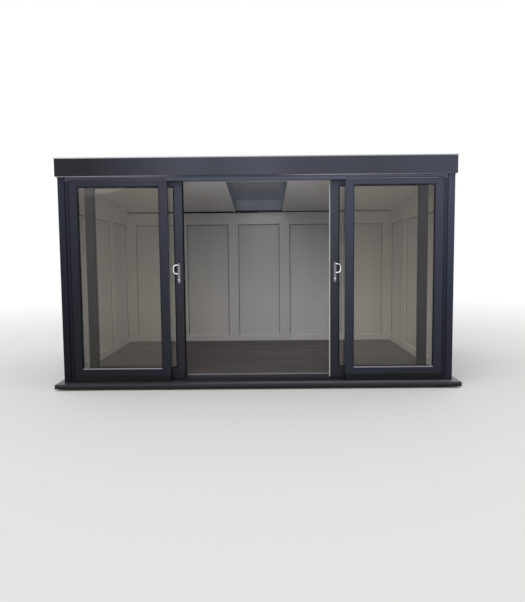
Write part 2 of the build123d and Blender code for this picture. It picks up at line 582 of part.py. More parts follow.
with BuildPart() as right_door_sash:
    with BuildSketch(Plane.XZ.offset(-DOOR_BACK_Y)):
        with Locations((DOOR_MID_X, (DOOR_LOW_Z + DOOR_TOP_Z) / 2)):
            Rectangle(DOOR_W, DOOR_TOP_Z - DOOR_LOW_Z)
        with Locations((DOOR_GLASS_MID, DOOR_SIGHT_MID_Z)):
            Rectangle(DOOR_GLASS_W, DOOR_SIGHT_H, mode=Mode.SUBTRACT)
    extrude(amount=DOOR_T)
    sight_edges = [
        e
        for e in right_door_sash.edges().filter_by(Axis.Y, reverse=True)
        if DOOR_GLASS_X0 - EDGE < e.center().X < DOOR_GLASS_X1 + EDGE
        and DOOR_GLASS_LOW_Z - EDGE < e.center().Z < GLASS_TOP_Z + EDGE
    ]
    chamfer(sight_edges, BEAD)
    # Groove that holds the edges of the glazed unit.
    with BuildSketch(Plane.XZ.offset(-DOOR_BACK_Y + (DOOR_T - GLASS_T) / 2 - GLASS_PLAY)):
        with Locations((DOOR_GLASS_MID, DOOR_SIGHT_MID_Z)):
            Rectangle(DOOR_GLASS_W + 2 * REBATE, DOOR_SIGHT_H + 2 * REBATE)
    extrude(amount=GLASS_T + 2 * GLASS_PLAY, mode=Mode.SUBTRACT)
    # The leading edge is stepped. Its seal lies in the step.
    with BuildSketch(Plane.XY.offset(DOOR_LOW_Z)):
        with Locations((DOOR_X + LEAD_STEP / 2, DOOR_FRONT_Y + DOOR_T / 4)):
            Rectangle(LEAD_STEP, DOOR_T / 2)
    extrude(amount=DOOR_TOP_Z - DOOR_LOW_Z, mode=Mode.SUBTRACT)
    # Pockets for the roller carriages in the underside.
    with BuildSketch(Plane.XY.offset(DOOR_LOW_Z)):
        with Locations(*[(x, DOOR_MID_Y) for x in ROLLER_XS]):
            Rectangle(CARRIAGE_L + 2 * SEAT, CARRIAGE_W + 2 * SEAT)
    extrude(amount=CARRIAGE_Z + CARRIAGE_H + SEAT - DOOR_LOW_Z, mode=Mode.SUBTRACT)

with BuildPart() as right_door_glass:
    with BuildSketch(Plane.XZ.offset(-DOOR_BACK_Y + (DOOR_T - GLASS_T) / 2)):
        with Locations((DOOR_GLASS_MID, DOOR_SIGHT_MID_Z)):
            Rectangle(
                DOOR_GLASS_W + 2 * (REBATE - GLASS_PLAY),
                DOOR_SIGHT_H + 2 * (REBATE - GLASS_PLAY),
            )
    extrude(amount=GLASS_T)

with BuildPart() as right_door_rollers:
    # Each roller stands in a carriage that fills a pocket in the underside of the door.
    with BuildSketch(Plane.XY.offset(CARRIAGE_Z)):
        with Locations(*[(x, DOOR_MID_Y) for x in ROLLER_XS]):
            Rectangle(CARRIAGE_L, CARRIAGE_W)
    extrude(amount=CARRIAGE_H)
    with BuildSketch(Plane.XZ.offset(-DOOR_MID_Y - ROLLER_W / 2)):
        with Locations(*[(x, ROLLER_Z) for x in ROLLER_XS]):
            Circle(ROLLER_R)
    extrude(amount=ROLLER_W)

PLATE_FACE_Y = DOOR_FRONT_Y - PLATE_T
GRIP_Y = PLATE_FACE_Y - GRIP_OUT

with BuildPart() as right_door_handles:
    with BuildSketch(Plane.XZ.offset(-DOOR_FRONT_Y)):
        with Locations((HANDLE_X, HANDLE_Z)):
            SlotOverall(PLATE_L, PLATE_W, rotation=90)
    extrude(amount=PLATE_T)
    chamfer(right_door_handles.faces().sort_by(Axis.Y)[0].edges(), PLATE_T / 3)
    with BuildSketch(Plane.XZ.offset(-DOOR_FRONT_Y)):
        with Locations((HANDLE_X, HANDLE_Z + LOCK_Z)):
            Circle(LOCK_R)
    extrude(amount=PLATE_T + LOCK_OUT)
    # The grip leaves the plate, bows sideways and comes back to the plate as one bent bar.
    with BuildLine() as grip_path:
        FilletPolyline(
            (HANDLE_X, PLATE_FACE_Y + PLATE_T / 2, HANDLE_Z + GRIP_TOP),
            (HANDLE_X, GRIP_Y, HANDLE_Z + GRIP_TOP),
            (HANDLE_X + GRIP_BOW, GRIP_Y, HANDLE_Z + GRIP_TOP),
            (HANDLE_X + GRIP_BOW, GRIP_Y, HANDLE_Z + GRIP_LOW),
            (HANDLE_X, GRIP_Y, HANDLE_Z + GRIP_LOW),
            (HANDLE_X, PLATE_FACE_Y + PLATE_T / 2, HANDLE_Z + GRIP_LOW),
            radius=[GRIP_TURN, GRIP_BEND, GRIP_BEND, GRIP_TURN],
        )
    with BuildSketch(Plane(origin=grip_path.line @ 0, z_dir=grip_path.line % 0)):
        RegularPolygon(GRIP_D / 2, GRIP_SIDES)
    sweep(path=grip_path.line)
    # The same handle on the room side.
    mirror(about=Plane.XZ.offset(-DOOR_MID_Y))

with BuildPart() as left_door_sash:
    add(right_door_sash.part)
    mirror(about=Plane.YZ, mode=Mode.REPLACE)

with BuildPart() as left_door_glass:
    add(right_door_glass.part)
    mirror(about=Plane.YZ, mode=Mode.REPLACE)

with BuildPart() as left_door_rollers:
    add(right_door_rollers.part)
    mirror(about=Plane.YZ, mode=Mode.REPLACE)

with BuildPart() as left_door_handles:
    add(right_door_handles.part)
    mirror(about=Plane.YZ, mode=Mode.REPLACE)

# Roof and rooflight.

with BuildPart() as ceiling_panels:
    with BuildSketch(Plane.YZ.offset(CURB_X + SEAT)):
        with BuildLine():
            Polyline(
                *layer(ROOM_FRONT_Y + SEAT, ROOM_BACK_Y - SEAT, 0, CEILING_T - SEAT),
                close=True,
            )
        make_face()
    extrude(amount=ROOM_X - CURB_X - 2 * SEAT)
    mirror(about=Plane.YZ)

with BuildPart() as roof_panels:
    with BuildSketch(Plane.YZ.offset(CURB_X + SEAT)):
        with BuildLine():
            Polyline(*layer(-WALL_Y, WALL_Y, PANEL_LOW, PANEL_TOP), close=True)
        make_face()
    extrude(amount=WALL_X - CURB_X - SEAT)
    mirror(about=Plane.YZ)
    # Short pieces before and behind the rooflight shaft.
    for y0, y1 in ((-WALL_Y, ROOM_FRONT_Y), (ROOM_BACK_Y, WALL_Y)):
        with BuildSketch(Plane.YZ.offset(-CURB_X)):
            with BuildLine():
                Polyline(*layer(y0, y1, PANEL_LOW, PANEL_TOP), close=True)
            make_face()
        extrude(amount=2 * CURB_X)

with BuildPart() as rooflight_curb:
    with BuildSketch(Plane.YZ.offset(SHAFT_X)):
        with BuildLine():
            Polyline(
                *layer(ROOM_FRONT_Y + SEAT, ROOM_BACK_Y - SEAT, -CURB_DROP, CURB_TOP),
                close=True,
            )
        make_face()
    extrude(amount=CURB_T)
    mirror(about=Plane.YZ)
    for y0, y1 in (
        (ROOM_FRONT_Y + SEAT, ROOM_FRONT_Y + CURB_T),
        (ROOM_BACK_Y - CURB_T, ROOM_BACK_Y - SEAT),
    ):
        with BuildSketch(Plane.YZ.offset(-SHAFT_X + SEAT)):
            with BuildLine():
                Polyline(*layer(y0, y1, -CURB_DROP, CURB_TOP), close=True)
            make_face()
        extrude(amount=2 * (SHAFT_X - SEAT))

with BuildPart() as rooflight_glass:
    with BuildSketch(Plane.YZ.offset(-CURB_X)):
        with BuildLine():
            Polyline(
                *layer(ROOM_FRONT_Y, ROOM_BACK_Y, CURB_TOP + SEAT, CURB_TOP + PANE_T),
                close=True,
            )
        make_face()
    extrude(amount=2 * CURB_X)

with BuildPart() as rooflight_frame:
    # Bars along both sides of the glass, then across its two ends.
    with BuildSketch(Plane.YZ.offset(CURB_X + SEAT)):
        with BuildLine():
            Polyline(
                *layer(
                    ROOM_FRONT_Y - CAP_T,
                    ROOM_BACK_Y + CAP_T,
                    PANEL_TOP + SEAT,
                    CURB_TOP + PANE_T + CAP_OVER,
                ),
                close=True,
            )
        make_face()
    extrude(amount=CAP_T)
    mirror(about=Plane.YZ)
    for y0, y1 in (
        (ROOM_FRONT_Y - CAP_T, ROOM_FRONT_Y - SEAT),
        (ROOM_BACK_Y + SEAT, ROOM_BACK_Y + CAP_T),
    ):
        with BuildSketch(Plane.YZ.offset(-CURB_X)):
            with BuildLine():
                Polyline(
                    *layer(y0, y1, PANEL_TOP + SEAT, CURB_TOP + PANE_T + CAP_OVER),
                    close=True,
                )
            make_face()
        extrude(amount=2 * CURB_X)

# Fascia, roof edge and gutter.

# Lowest line on the face of the front fascia.
LOW_FRONT = (0, -WALL_Y - FASCIA_OUT, FASCIA_Z)

with BuildPart() as front_fascia:
    # A board with a soffit behind its lower edge.
    with BuildSketch(Plane.XY.offset(FASCIA_Z)):
        with Locations((0, -WALL_Y - FASCIA_OUT + FASCIA_T / 2)):
            Rectangle(2 * (WALL_X + SEAT + SIDE_FASCIA_T), FASCIA_T)
    extrude(amount=PARAPET_Z - FASCIA_Z)
    fillet(front_fascia.edges().filter_by(Axis.X).sort_by_distance(LOW_FRONT)[0], EDGE)
    with BuildSketch(Plane.XY.offset(FASCIA_Z)):
        with Locations((0, -WALL_Y - SEAT - (FASCIA_OUT - FASCIA_T) / 2)):
            Rectangle(POD_W, FASCIA_OUT - FASCIA_T)
    extrude(amount=SOFFIT_T)

with BuildPart() as side_fascias:
    # The lower edge follows the fall of the roof, so that the board covers the roof's side.
    with BuildSketch(Plane.YZ.offset(WALL_X + SEAT)):
        with BuildLine():
            Polyline(
                (-WALL_Y - FASCIA_OUT + FASCIA_T + SEAT, PARAPET_Z),
                (-WALL_Y - FASCIA_OUT + FASCIA_T + SEAT, FASCIA_Z),
                (-WALL_Y, FASCIA_Z),
                (EAVES_Y, FASCIA_Z - ROOF_FALL * (EAVES_Y + WALL_Y)),
                (EAVES_Y, PARAPET_Z),
                close=True,
            )
        make_face()
    extrude(amount=SIDE_FASCIA_T)
    mirror(about=Plane.YZ)

with BuildPart() as back_fascia:
    with BuildSketch(Plane.XY.offset(EAVES_LOW_Z)):
        with Locations((0, WALL_Y + SEAT + SIDE_FASCIA_T / 2)):
            Rectangle(POD_W, SIDE_FASCIA_T)
    extrude(amount=EAVES_TOP_Z - EAVES_LOW_Z)

with BuildPart() as roof_upstands:
    # Upstands along both sides and the front, with level tops on the falling roof.
    with BuildSketch(Plane.YZ.offset(WALL_X - UPSTAND_T)):
        with BuildLine():
            Polyline(
                (-WALL_Y, PARAPET_Z),
                (-WALL_Y, fall_z(-WALL_Y) + PANEL_TOP + SEAT),
                (WALL_Y, fall_z(WALL_Y) + PANEL_TOP + SEAT),
                (WALL_Y, PARAPET_Z),
                close=True,
            )
        make_face()
    extrude(amount=UPSTAND_T)
    mirror(about=Plane.YZ)
    with BuildSketch(Plane.YZ.offset(-WALL_X + UPSTAND_T + SEAT)):
        with BuildLine():
            Polyline(
                (-WALL_Y, PARAPET_Z),
                (-WALL_Y, fall_z(-WALL_Y) + PANEL_TOP + SEAT),
                (-WALL_Y + UPSTAND_T, fall_z(-WALL_Y + UPSTAND_T) + PANEL_TOP + SEAT),
                (-WALL_Y + UPSTAND_T, PARAPET_Z),
                close=True,
            )
        make_face()
    extrude(amount=2 * (WALL_X - UPSTAND_T - SEAT))

TRIM_FRONT_Y = -WALL_Y - FASCIA_OUT - TRIM_OUT
TRIM_SIDE_X = WALL_X + SEAT + SIDE_FASCIA_T + TRIM_OUT
TRIM_BACK_Y = -WALL_Y + UPSTAND_T

with BuildPart() as roof_trim:
    # A cap over the fascia and the upstand, with a lip turned down outside.
    with BuildSketch(Plane.YZ.offset(-TRIM_SIDE_X)):
        with BuildLine():
            Polyline(
                (TRIM_FRONT_Y, PARAPET_Z + TRIM_T),
                (TRIM_FRONT_Y, PARAPET_Z + TRIM_T - TRIM_LIP),
                (TRIM_FRONT_Y + TRIM_OUT - SEAT, PARAPET_Z + TRIM_T - TRIM_LIP),
                (TRIM_FRONT_Y + TRIM_OUT - SEAT, PARAPET_Z),
                (TRIM_BACK_Y, PARAPET_Z),
                (TRIM_BACK_Y, PARAPET_Z + TRIM_T),
                close=True,
            )
        make_face()
    extrude(amount=2 * TRIM_SIDE_X)
    with BuildSketch(Plane.XZ.offset(-TRIM_BACK_Y - SEAT)):
        with BuildLine():
            Polyline(
                (TRIM_SIDE_X, PARAPET_Z + TRIM_T),
                (TRIM_SIDE_X, PARAPET_Z + TRIM_T - TRIM_LIP),
                (TRIM_SIDE_X - TRIM_OUT + SEAT, PARAPET_Z + TRIM_T - TRIM_LIP),
                (TRIM_SIDE_X - TRIM_OUT + SEAT, PARAPET_Z),
                (WALL_X - UPSTAND_T, PARAPET_Z),
                (WALL_X - UPSTAND_T, PARAPET_Z + TRIM_T),
                close=True,
            )
        make_face()
    extrude(amount=-(WALL_Y - TRIM_BACK_Y - SEAT))
    mirror(about=Plane.YZ)

GUTTER_Y = EAVES_Y + GUTTER_W / 2

with BuildPart() as back_gutter:
    with BuildSketch(Plane.XY.offset(GUTTER_LOW_Z)):
        with Locations((0, GUTTER_Y)):
            Rectangle(POD_W, GUTTER_W)
    extrude(amount=GUTTER_H)
    low_edges = back_gutter.edges().filter_by(Axis.X).group_by(Axis.Z)[0]
    fillet(low_edges.sort_by(Axis.Y)[-1], GUTTER_W / 4)
    with BuildSketch(Plane.XY.offset(GUTTER_LOW_Z + GUTTER_WALL)):
        with Locations((0, GUTTER_Y)):
            Rectangle(POD_W - 2 * GUTTER_WALL, GUTTER_W - 2 * GUTTER_WALL)
    trough = extrude(amount=GUTTER_H, mode=Mode.PRIVATE)
    trough_edges = trough.edges().filter_by(Axis.X).group_by(Axis.Z)[0]
    add(
        trough.fillet(GUTTER_W / 4 - GUTTER_WALL, [trough_edges.sort_by(Axis.Y)[-1]]),
        mode=Mode.SUBTRACT,
    )

PIECES = {
    "base_frame": base_frame,
    "front_ledge": front_ledge,
    "back_ledge": back_ledge,
    "side_ledges": side_ledges,
    "floor_deck": floor_deck,
    "laminate_floor": laminate_floor,
    "front_posts": front_posts,
    "back_posts": back_posts,
    "wall_sills": wall_sills,
    "wall_headers": wall_headers,
    "back_wall_frames": back_wall_frames,
    "back_wall_panels": back_wall_panels,
    "left_wall_frames": left_wall_frames,
    "left_wall_panels": left_wall_panels,
    "right_wall_frames": right_wall_frames,
    "right_wall_panels": right_wall_panels,
    "door_threshold": door_threshold,
    "track_rails": track_rails,
    "floor_edge_strip": floor_edge_strip,
    "fixed_kerbs": fixed_kerbs,
    "door_jambs": door_jambs,
    "door_head": door_head,
    "head_channel": head_channel,
    "left_fixed_sash": left_fixed_sash,
    "right_fixed_sash": right_fixed_sash,
    "fixed_glass": fixed_glass,
    "left_door_sash": left_door_sash,
    "left_door_glass": left_door_glass,
    "left_door_rollers": left_door_rollers,
    "left_door_handles": left_door_handles,
    "right_door_sash": right_door_sash,
    "right_door_glass": right_door_glass,
    "right_door_rollers": right_door_rollers,
    "right_door_handles": right_door_handles,
    "ceiling_panels": ceiling_panels,
    "roof_panels": roof_panels,
    "rooflight_curb": rooflight_curb,
    "rooflight_glass": rooflight_glass,
    "rooflight_frame": rooflight_frame,
    "front_fascia": front_fascia,
    "side_fascias": side_fascias,
    "back_fascia": back_fascia,
    "roof_upstands": roof_upstands,
    "roof_trim": roof_trim,
    "back_gutter": back_gutter,
}
for label, piece in PIECES.items():
    piece.part.label = label
    export_step(piece.part, f"parts/{label}.step")
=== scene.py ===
"""Dresses the garden office pod and sets it on a pale studio floor.

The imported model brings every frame, panel, pane and board. This script gives each of them its
finish and adds what is finer: seals, gaskets, beads, thin trims, straps, seams and keyholes. All
lengths are in metres, in the model's own frame: X along the front, Y from front to back, Z up.
"""

import logging
import math
from dataclasses import dataclass
from enum import Enum
from functools import cache

import bmesh
import bpy
from mathutils import Matrix, Vector


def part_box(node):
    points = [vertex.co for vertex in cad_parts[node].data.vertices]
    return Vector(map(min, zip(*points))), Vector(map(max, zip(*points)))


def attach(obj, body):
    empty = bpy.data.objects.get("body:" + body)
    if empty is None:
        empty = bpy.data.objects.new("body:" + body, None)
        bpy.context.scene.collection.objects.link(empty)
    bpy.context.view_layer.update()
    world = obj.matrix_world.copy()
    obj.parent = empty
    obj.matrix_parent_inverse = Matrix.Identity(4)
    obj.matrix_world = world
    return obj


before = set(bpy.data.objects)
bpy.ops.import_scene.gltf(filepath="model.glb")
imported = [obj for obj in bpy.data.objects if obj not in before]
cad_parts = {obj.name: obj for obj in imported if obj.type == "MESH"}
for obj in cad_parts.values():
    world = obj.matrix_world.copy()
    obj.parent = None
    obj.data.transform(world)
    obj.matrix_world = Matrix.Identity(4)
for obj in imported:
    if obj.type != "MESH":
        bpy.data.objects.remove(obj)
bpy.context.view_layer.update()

LOG = logging.getLogger("garden_pod")

Pair = tuple[float, float]
Triple = tuple[float, float, float]
Tree = bpy.types.NodeTree
Socket = bpy.types.NodeSocket
Sockets = bpy.types.bpy_prop_collection
Verts = list[bmesh.types.BMVert]

# A noise keeps between these two values nearly everywhere.
NOISE_SPAN = {"From Min": 0.3, "From Max": 0.7}
# Thin pieces stand off the solids by this, so that no two faces lie in one plane.
OFF = 0.0002


class Body(Enum):
    """The bodies that a piece can ride on."""

    POD = "pod"
    LEFT_DOOR = "left_door"
    RIGHT_DOOR = "right_door"


class Facing(Enum):
    """The direction that a flat ring faces, with the turn that brings it there from facing up."""

    ALONG_Y = (math.pi / 2, "X")
    ALONG_X = (math.pi / 2, "Y")
    UP = (0.0, "Z")


class Run(Enum):
    """The direction that a grain or a brushed line runs in, as pattern scales along X, Y and Z."""

    ACROSS = (0.06, 1.0, 1.0)
    DEEP = (1.0, 0.06, 1.0)
    UPRIGHT = (1.0, 1.0, 0.06)


def linear(code: str) -> tuple[float, float, float, float]:
    """Turns an sRGB hex colour into linear light.

    Args:
        code: The colour, such as "#3a3c47".

    Returns:
        Red, green, blue and an alpha of 1.
    """
    parts = [int(code[i : i + 2], 16) / 255 for i in (1, 3, 5)]
    light = [c / 12.92 if c <= 0.04045 else ((c + 0.055) / 1.055) ** 2.4 for c in parts]
    return (light[0], light[1], light[2], 1.0)


def add_node(tree: Tree, kind: str, inputs: dict | None = None, **settings: object) -> Sockets:
    """Adds one node with its settings, its plain values and its incoming links.

    Args:
        tree: The node tree that gets the node.
        kind: The node's type.
        inputs: A plain value, or an output socket to join, by input.
        settings: Properties of the node.

    Returns:
        The new node's output sockets.
    """
    node = tree.nodes.new(kind)
    for key, value in settings.items():
        setattr(node, key, value)
    for key, value in (inputs or {}).items():
        if isinstance(value, Socket):
            tree.links.new(value, node.inputs[key])
        else:
            node.inputs[key].default_value = value
    return node.outputs


def pod_axes(tree: Tree) -> Sockets:
    """Reads the place on the pod.

    Args:
        tree: The node tree.

    Returns:
        Sockets X, Y and Z.
    """
    place = add_node(tree, "ShaderNodeTexCoord")["Object"]
    return add_node(tree, "ShaderNodeSeparateXYZ", {"Vector": place})


def grain(tree: Tree, run: Run, spacing: float, detail: float = 3.0) -> Socket:
    """Adds a noise that is drawn out along one direction.

    Args:
        tree: The node tree.
        run: The direction of the grain.
        spacing: Distance between two lines of the grain, in metres.
        detail: How many finer layers the noise has.

    Returns:
        The noise's value.
    """
    place = add_node(tree, "ShaderNodeTexCoord")["Object"]
    turned = add_node(tree, "ShaderNodeMapping", {"Vector": place, "Scale": run.value})["Vector"]
    noise = {"Vector": turned, "Scale": 1.0 / spacing, "Detail": detail, "Roughness": 0.55}
    return add_node(tree, "ShaderNodeTexNoise", noise)["Fac"]


def shaded(tree: Tree, colour: Socket | Triple, noise: Socket, low: float, high: float) -> Socket:
    """Shades a colour by a noise.

    Args:
        tree: The node tree.
        colour: The colour before.
        noise: The noise's value.
        low: Share of the colour where the noise is low.
        high: Share of the colour where the noise is high.

    Returns:
        The shaded colour.
    """
    span = {"Value": noise, **NOISE_SPAN, "To Min": low, "To Max": high}
    share = add_node(tree, "ShaderNodeMapRange", span)["Result"]
    return add_node(tree, "ShaderNodeVectorMath", {0: colour, "Scale": share}, operation="SCALE")[0]


def skin(
    tree: Tree,
    values: dict,
    fine: Socket,
    rough: Pair,
    relief: tuple[Socket, float, float] | None = None,
) -> Socket:
    """Adds the shader of a surface whose shine is broken by a fine pattern.

    Args:
        tree: The node tree.
        values: What else goes into the shader, its colour among them.
        fine: The fine pattern.
        rough: Roughness where the pattern is low and where it is high.
        relief: The pattern that stands up, how strongly, and how high in metres.

    Returns:
        The shader.
    """
    span = {"Value": fine, **NOISE_SPAN, "To Min": rough[0], "To Max": rough[1]}
    values = {**values, "Roughness": add_node(tree, "ShaderNodeMapRange", span)["Result"]}
    if relief:
        bump = dict(zip(("Height", "Strength", "Distance"), relief))
        values["Normal"] = add_node(tree, "ShaderNodeBump", bump)["Normal"]
    return add_node(tree, "ShaderNodeBsdfPrincipled", values)["BSDF"]


def background_share(tree: Tree) -> Socket:
    """Tells the pale background, as the eye, a mirror image or a pane shows it, from its light.

    Args:
        tree: The node tree.

    Returns:
        1 where the background itself is seen, and 0 where it lights the pod.
    """
    path = add_node(tree, "ShaderNodeLightPath")
    share = path["Is Camera Ray"]
    for ray in ("Is Glossy Ray", "Is Transmission Ray"):
        share = add_node(tree, "ShaderNodeMath", {0: share, 1: path[ray]}, operation="MAXIMUM")[0]
    return share


class Finish:
    """A finish of the pod. Each kind below adds its own nodes and hands back its shader."""

    name: str

    def surface(self, tree: Tree) -> Socket:
        """Adds the finish's nodes.

        Args:
            tree: The material's empty node tree.

        Returns:
            The shader.
        """
        raise NotImplementedError

    @cache
    def material(self) -> bpy.types.Material:
        """Builds the material, once for all that has this finish.

        Returns:
            The material.
        """
        material = bpy.data.materials.new(self.name)
        material.use_nodes = True
        tree = material.node_tree
        tree.nodes.clear()
        add_node(tree, "ShaderNodeOutputMaterial", {"Surface": self.surface(tree)})
        return material


@dataclass(frozen=True)
class FoiledProfile(Finish):
    """Extruded vinyl frame profile with an anthracite foil outside and plain white inside.

    The foil is satin with a fine embossed grain and a slight blue in the grey. Its colour carries
    painted light and shade: paler towards the top and the right-hand end, darker at its foot, and
    darker again further out than far_x. The white side carries painted shade, a touch greyer
    towards the ceiling. Both catch a thin soft light along their edges and nothing else.
    """

    name: str
    outer: str = "#2a2c36"
    inner: str = "#e2e2e2"
    # The room, in which a profile shows its white side.
    half_width: float = 2.06
    front: float = -1.203
    back: float = 1.30
    shine: float = 0.2
    # The foil's painted light and shade at both ends of the front, and at the foot and the top.
    lit_x: Pair = (-2.4, 0.2)
    left_tone: float = 0.8
    right_tone: float = 1.08
    lit_z: Pair = (0.1, 2.25)
    lit_bend: float = 1.7
    foot_tone: float = 0.54
    top_tone: float = 2.12
    # Painted shade on the foil further out than far_x, where a door stands behind the fixed sash.
    far_x: float = 2.06
    far_w: float = 0.002
    far_tone: float = 1.0
    # Painted shade on the white side, which greys it towards the ceiling.
    ceiling_shade_z: Pair = (0.7, 2.2)
    ceiling_shade: float = 0.70
    run: Run = Run.UPRIGHT
    # The foil's real grain lines lie 1 mm apart. They are drawn 5 mm apart, so that they show.
    grain_gap: float = 0.005
    grain_tones: Pair = (0.985, 1.015)
    # Slow change of tone along a profile, a few percent over about half a metre.
    cloud_size: float = 0.5
    cloud_tones: Pair = (0.93, 1.05)
    rough: Pair = (0.36, 0.46)
    relief: Pair = (0.12, 0.0004)

    def painted_light_colour(self, tree: Tree) -> Socket:
        """Adds the foil's colour with painted light and shade, paler at the top and the right-hand
        end.

        Args:
            tree: The node tree.

        Returns:
            The colour.
        """
        axes = pod_axes(tree)
        width = add_node(tree, "ShaderNodeMath", {0: axes["X"]}, operation="ABSOLUTE")[0]
        # Painted light up the height and along the front, and painted shade beyond far_x.
        rise, along, far_shade = (
            add_node(
                tree,
                "ShaderNodeMapRange",
                {"Value": value, "From Min": a, "From Max": b, "To Min": low, "To Max": high},
                interpolation_type=kind,
            )["Result"]
            for value, (a, b), (low, high), kind in (
                (axes["Z"], self.lit_z, (0.0, 1.0), "LINEAR"),
                (axes["X"], self.lit_x, (self.left_tone, self.right_tone), "SMOOTHSTEP"),
                (width, (self.far_x, self.far_x + self.far_w), (1.0, self.far_tone), "LINEAR"),
            )
        )
        bend = add_node(tree, "ShaderNodeMath", {0: rise, 1: self.lit_bend}, operation="POWER")[0]
        span = {"Value": bend, "To Min": self.foot_tone, "To Max": self.top_tone}
        height = add_node(tree, "ShaderNodeMapRange", span)["Result"]
        colour = linear(self.outer)[:3]
        for share in (height, along, far_shade):
            tone = {0: colour, "Scale": share}
            colour = add_node(tree, "ShaderNodeVectorMath", tone, operation="SCALE")[0]
        return colour

    def ceiling_shaded_white(self, tree: Tree) -> Socket:
        """Adds the white side's colour, a touch greyer towards the ceiling as painted shade.

        Args:
            tree: The node tree.

        Returns:
            The colour.
        """
        span = {"Value": pod_axes(tree)["Z"], "To Min": 1.0, "To Max": self.ceiling_shade}
        span["From Min"], span["From Max"] = self.ceiling_shade_z
        share = add_node(tree, "ShaderNodeMapRange", span)["Result"]
        tone = {0: linear(self.inner)[:3], "Scale": share}
        return add_node(tree, "ShaderNodeVectorMath", tone, operation="SCALE")[0]

    def inside(self, tree: Tree) -> Socket:
        """Adds a mask that is 1 where the profile faces the room and 0 outside.

        Args:
            tree: The node tree.

        Returns:
            The mask.
        """
        axes = pod_axes(tree)
        width = add_node(tree, "ShaderNodeMath", {0: axes["X"]}, operation="ABSOLUTE")[0]
        between, behind, before = (
            add_node(tree, "ShaderNodeMath", {0: value, 1: limit}, operation=test)[0]
            for value, test, limit in (
                (width, "LESS_THAN", self.half_width),
                (axes["Y"], "GREATER_THAN", self.front),
                (axes["Y"], "LESS_THAN", self.back),
            )
        )
        room = add_node(tree, "ShaderNodeMath", {0: between, 1: behind}, operation="MULTIPLY")[0]
        return add_node(tree, "ShaderNodeMath", {0: room, 1: before}, operation="MULTIPLY")[0]

    def surface(self, tree: Tree) -> Socket:
        """Adds the two-sided profile's nodes.

        Args:
            tree: The material's empty node tree.

        Returns:
            The shader.
        """
        lines = grain(tree, self.run, self.grain_gap)
        cloud = grain(tree, Run.UPRIGHT, self.cloud_size, 2.0)
        sides = {0: self.inside(tree), 6: self.painted_light_colour(tree), 7: self.ceiling_shaded_white(tree)}
        colour = add_node(tree, "ShaderNodeMix", sides, data_type="RGBA")[2]
        colour = shaded(tree, colour, cloud, *self.cloud_tones)
        colour = shaded(tree, colour, lines, *self.grain_tones)
        values = {"Base Color": colour, "IOR": 1.5, "Specular IOR Level": self.shine}
        return skin(tree, values, lines, self.rough, (lines, *self.relief))


@dataclass(frozen=True)
class RoofBoard(Finish):
    """Cellular vinyl fascia board with an anthracite foil and a pale, unfoiled underside.

    It is smoother than the frames. Its tone changes slowly at random, as painted shading of a face
    that waves a little between its fixings. The front board is darker at both ends, most at its
    left-hand end, in painted shade. Its underside shows as a pale line towards both ends, partly
    its own pale colour and partly a painted highlight, dimmed over the doorway and at the right.
    """

    name: str = "fascia_board"
    colour: str = "#353844"
    soffit: str = "#353844"
    # The underside is what lies below soffit_z and behind soffit_y.
    soffit_z: float = 0.0
    soffit_y: float = -1.3965
    # The face's painted shade at both ends, and where along the board it changes.
    left_tone: float = 1.0
    left_x: Pair = (-1.75, -0.65)
    right_tone: float = 1.0
    right_x: Pair = (0.0, 0.7)
    # The underside's painted highlight: its tone over the doorway and at its right-hand end, and
    # where it changes.
    highlight_tone: float = 1.0
    highlight_off_x: Pair = (-1.2, -0.8)
    highlight_on_x: Pair = (0.2, 0.5)
    highlight_end: float = 1.0
    highlight_end_x: Pair = (1.1, 1.9)
    shine: float = 0.2
    grain_gap: float = 0.006
    wave_size: float = 0.7
    wave_shading_tones: Pair = (0.86, 1.12)
    rough: Pair = (0.26, 0.36)
    relief: Pair = (0.1, 0.0004)

    def underside(self, tree: Tree, axes: Sockets) -> Socket:
        """Adds a mask that is 1 on the underside of the board and 0 on its face.

        Args:
            tree: The node tree.
            axes: The place on the pod.

        Returns:
            The mask.
        """
        below, behind = (
            add_node(tree, "ShaderNodeMath", {0: axes[axis], 1: limit}, operation=test)[0]
            for axis, test, limit in (
                ("Z", "LESS_THAN", self.soffit_z),
                ("Y", "GREATER_THAN", self.soffit_y),
            )
        )
        return add_node(tree, "ShaderNodeMath", {0: below, 1: behind}, operation="MULTIPLY")[0]

    def surface(self, tree: Tree) -> Socket:
        """Adds the fascia's nodes.

        Args:
            tree: The material's empty node tree.

        Returns:
            The shader.
        """
        axes = pod_axes(tree)
        # Painted shade at both ends of the face, and the painted highlight on the underside.
        left, right, highlight_off, highlight_on, fade = (
            add_node(
                tree,
                "ShaderNodeMapRange",
                {"Value": axes["X"], "From Min": a, "From Max": b, "To Min": low, "To Max": high},
            )["Result"]
            for (a, b), (low, high) in (
                (self.left_x, (self.left_tone, 1.0)),
                (self.right_x, (1.0, self.right_tone)),
                (self.highlight_off_x, (1.0, self.highlight_tone)),
                (self.highlight_on_x, (self.highlight_tone, 1.0)),
                (self.highlight_end_x, (1.0, self.highlight_end)),
            )
        )
        line = add_node(tree, "ShaderNodeMath", {0: highlight_off, 1: highlight_on}, operation="MAXIMUM")[0]
        sides = {0: self.underside(tree, axes)}
        for side, code, shares in ((6, self.colour, (left, right)), (7, self.soffit, (line, fade))):
            sides[side] = linear(code)[:3]
            for share in shares:
                tone = {0: sides[side], "Scale": share}
                sides[side] = add_node(tree, "ShaderNodeVectorMath", tone, operation="SCALE")[0]
        colour = add_node(tree, "ShaderNodeMix", sides, data_type="RGBA")[2]
        # Painted shading of the wavy face.
        wave = grain(tree, Run.UPRIGHT, self.wave_size, 1.0)
        colour = shaded(tree, colour, wave, *self.wave_shading_tones)
        lines = grain(tree, Run.ACROSS, self.grain_gap)
        values = {"Base Color": colour, "IOR": 1.5, "Specular IOR Level": self.shine}
        return skin(tree, values, lines, self.rough, (lines, *self.relief))


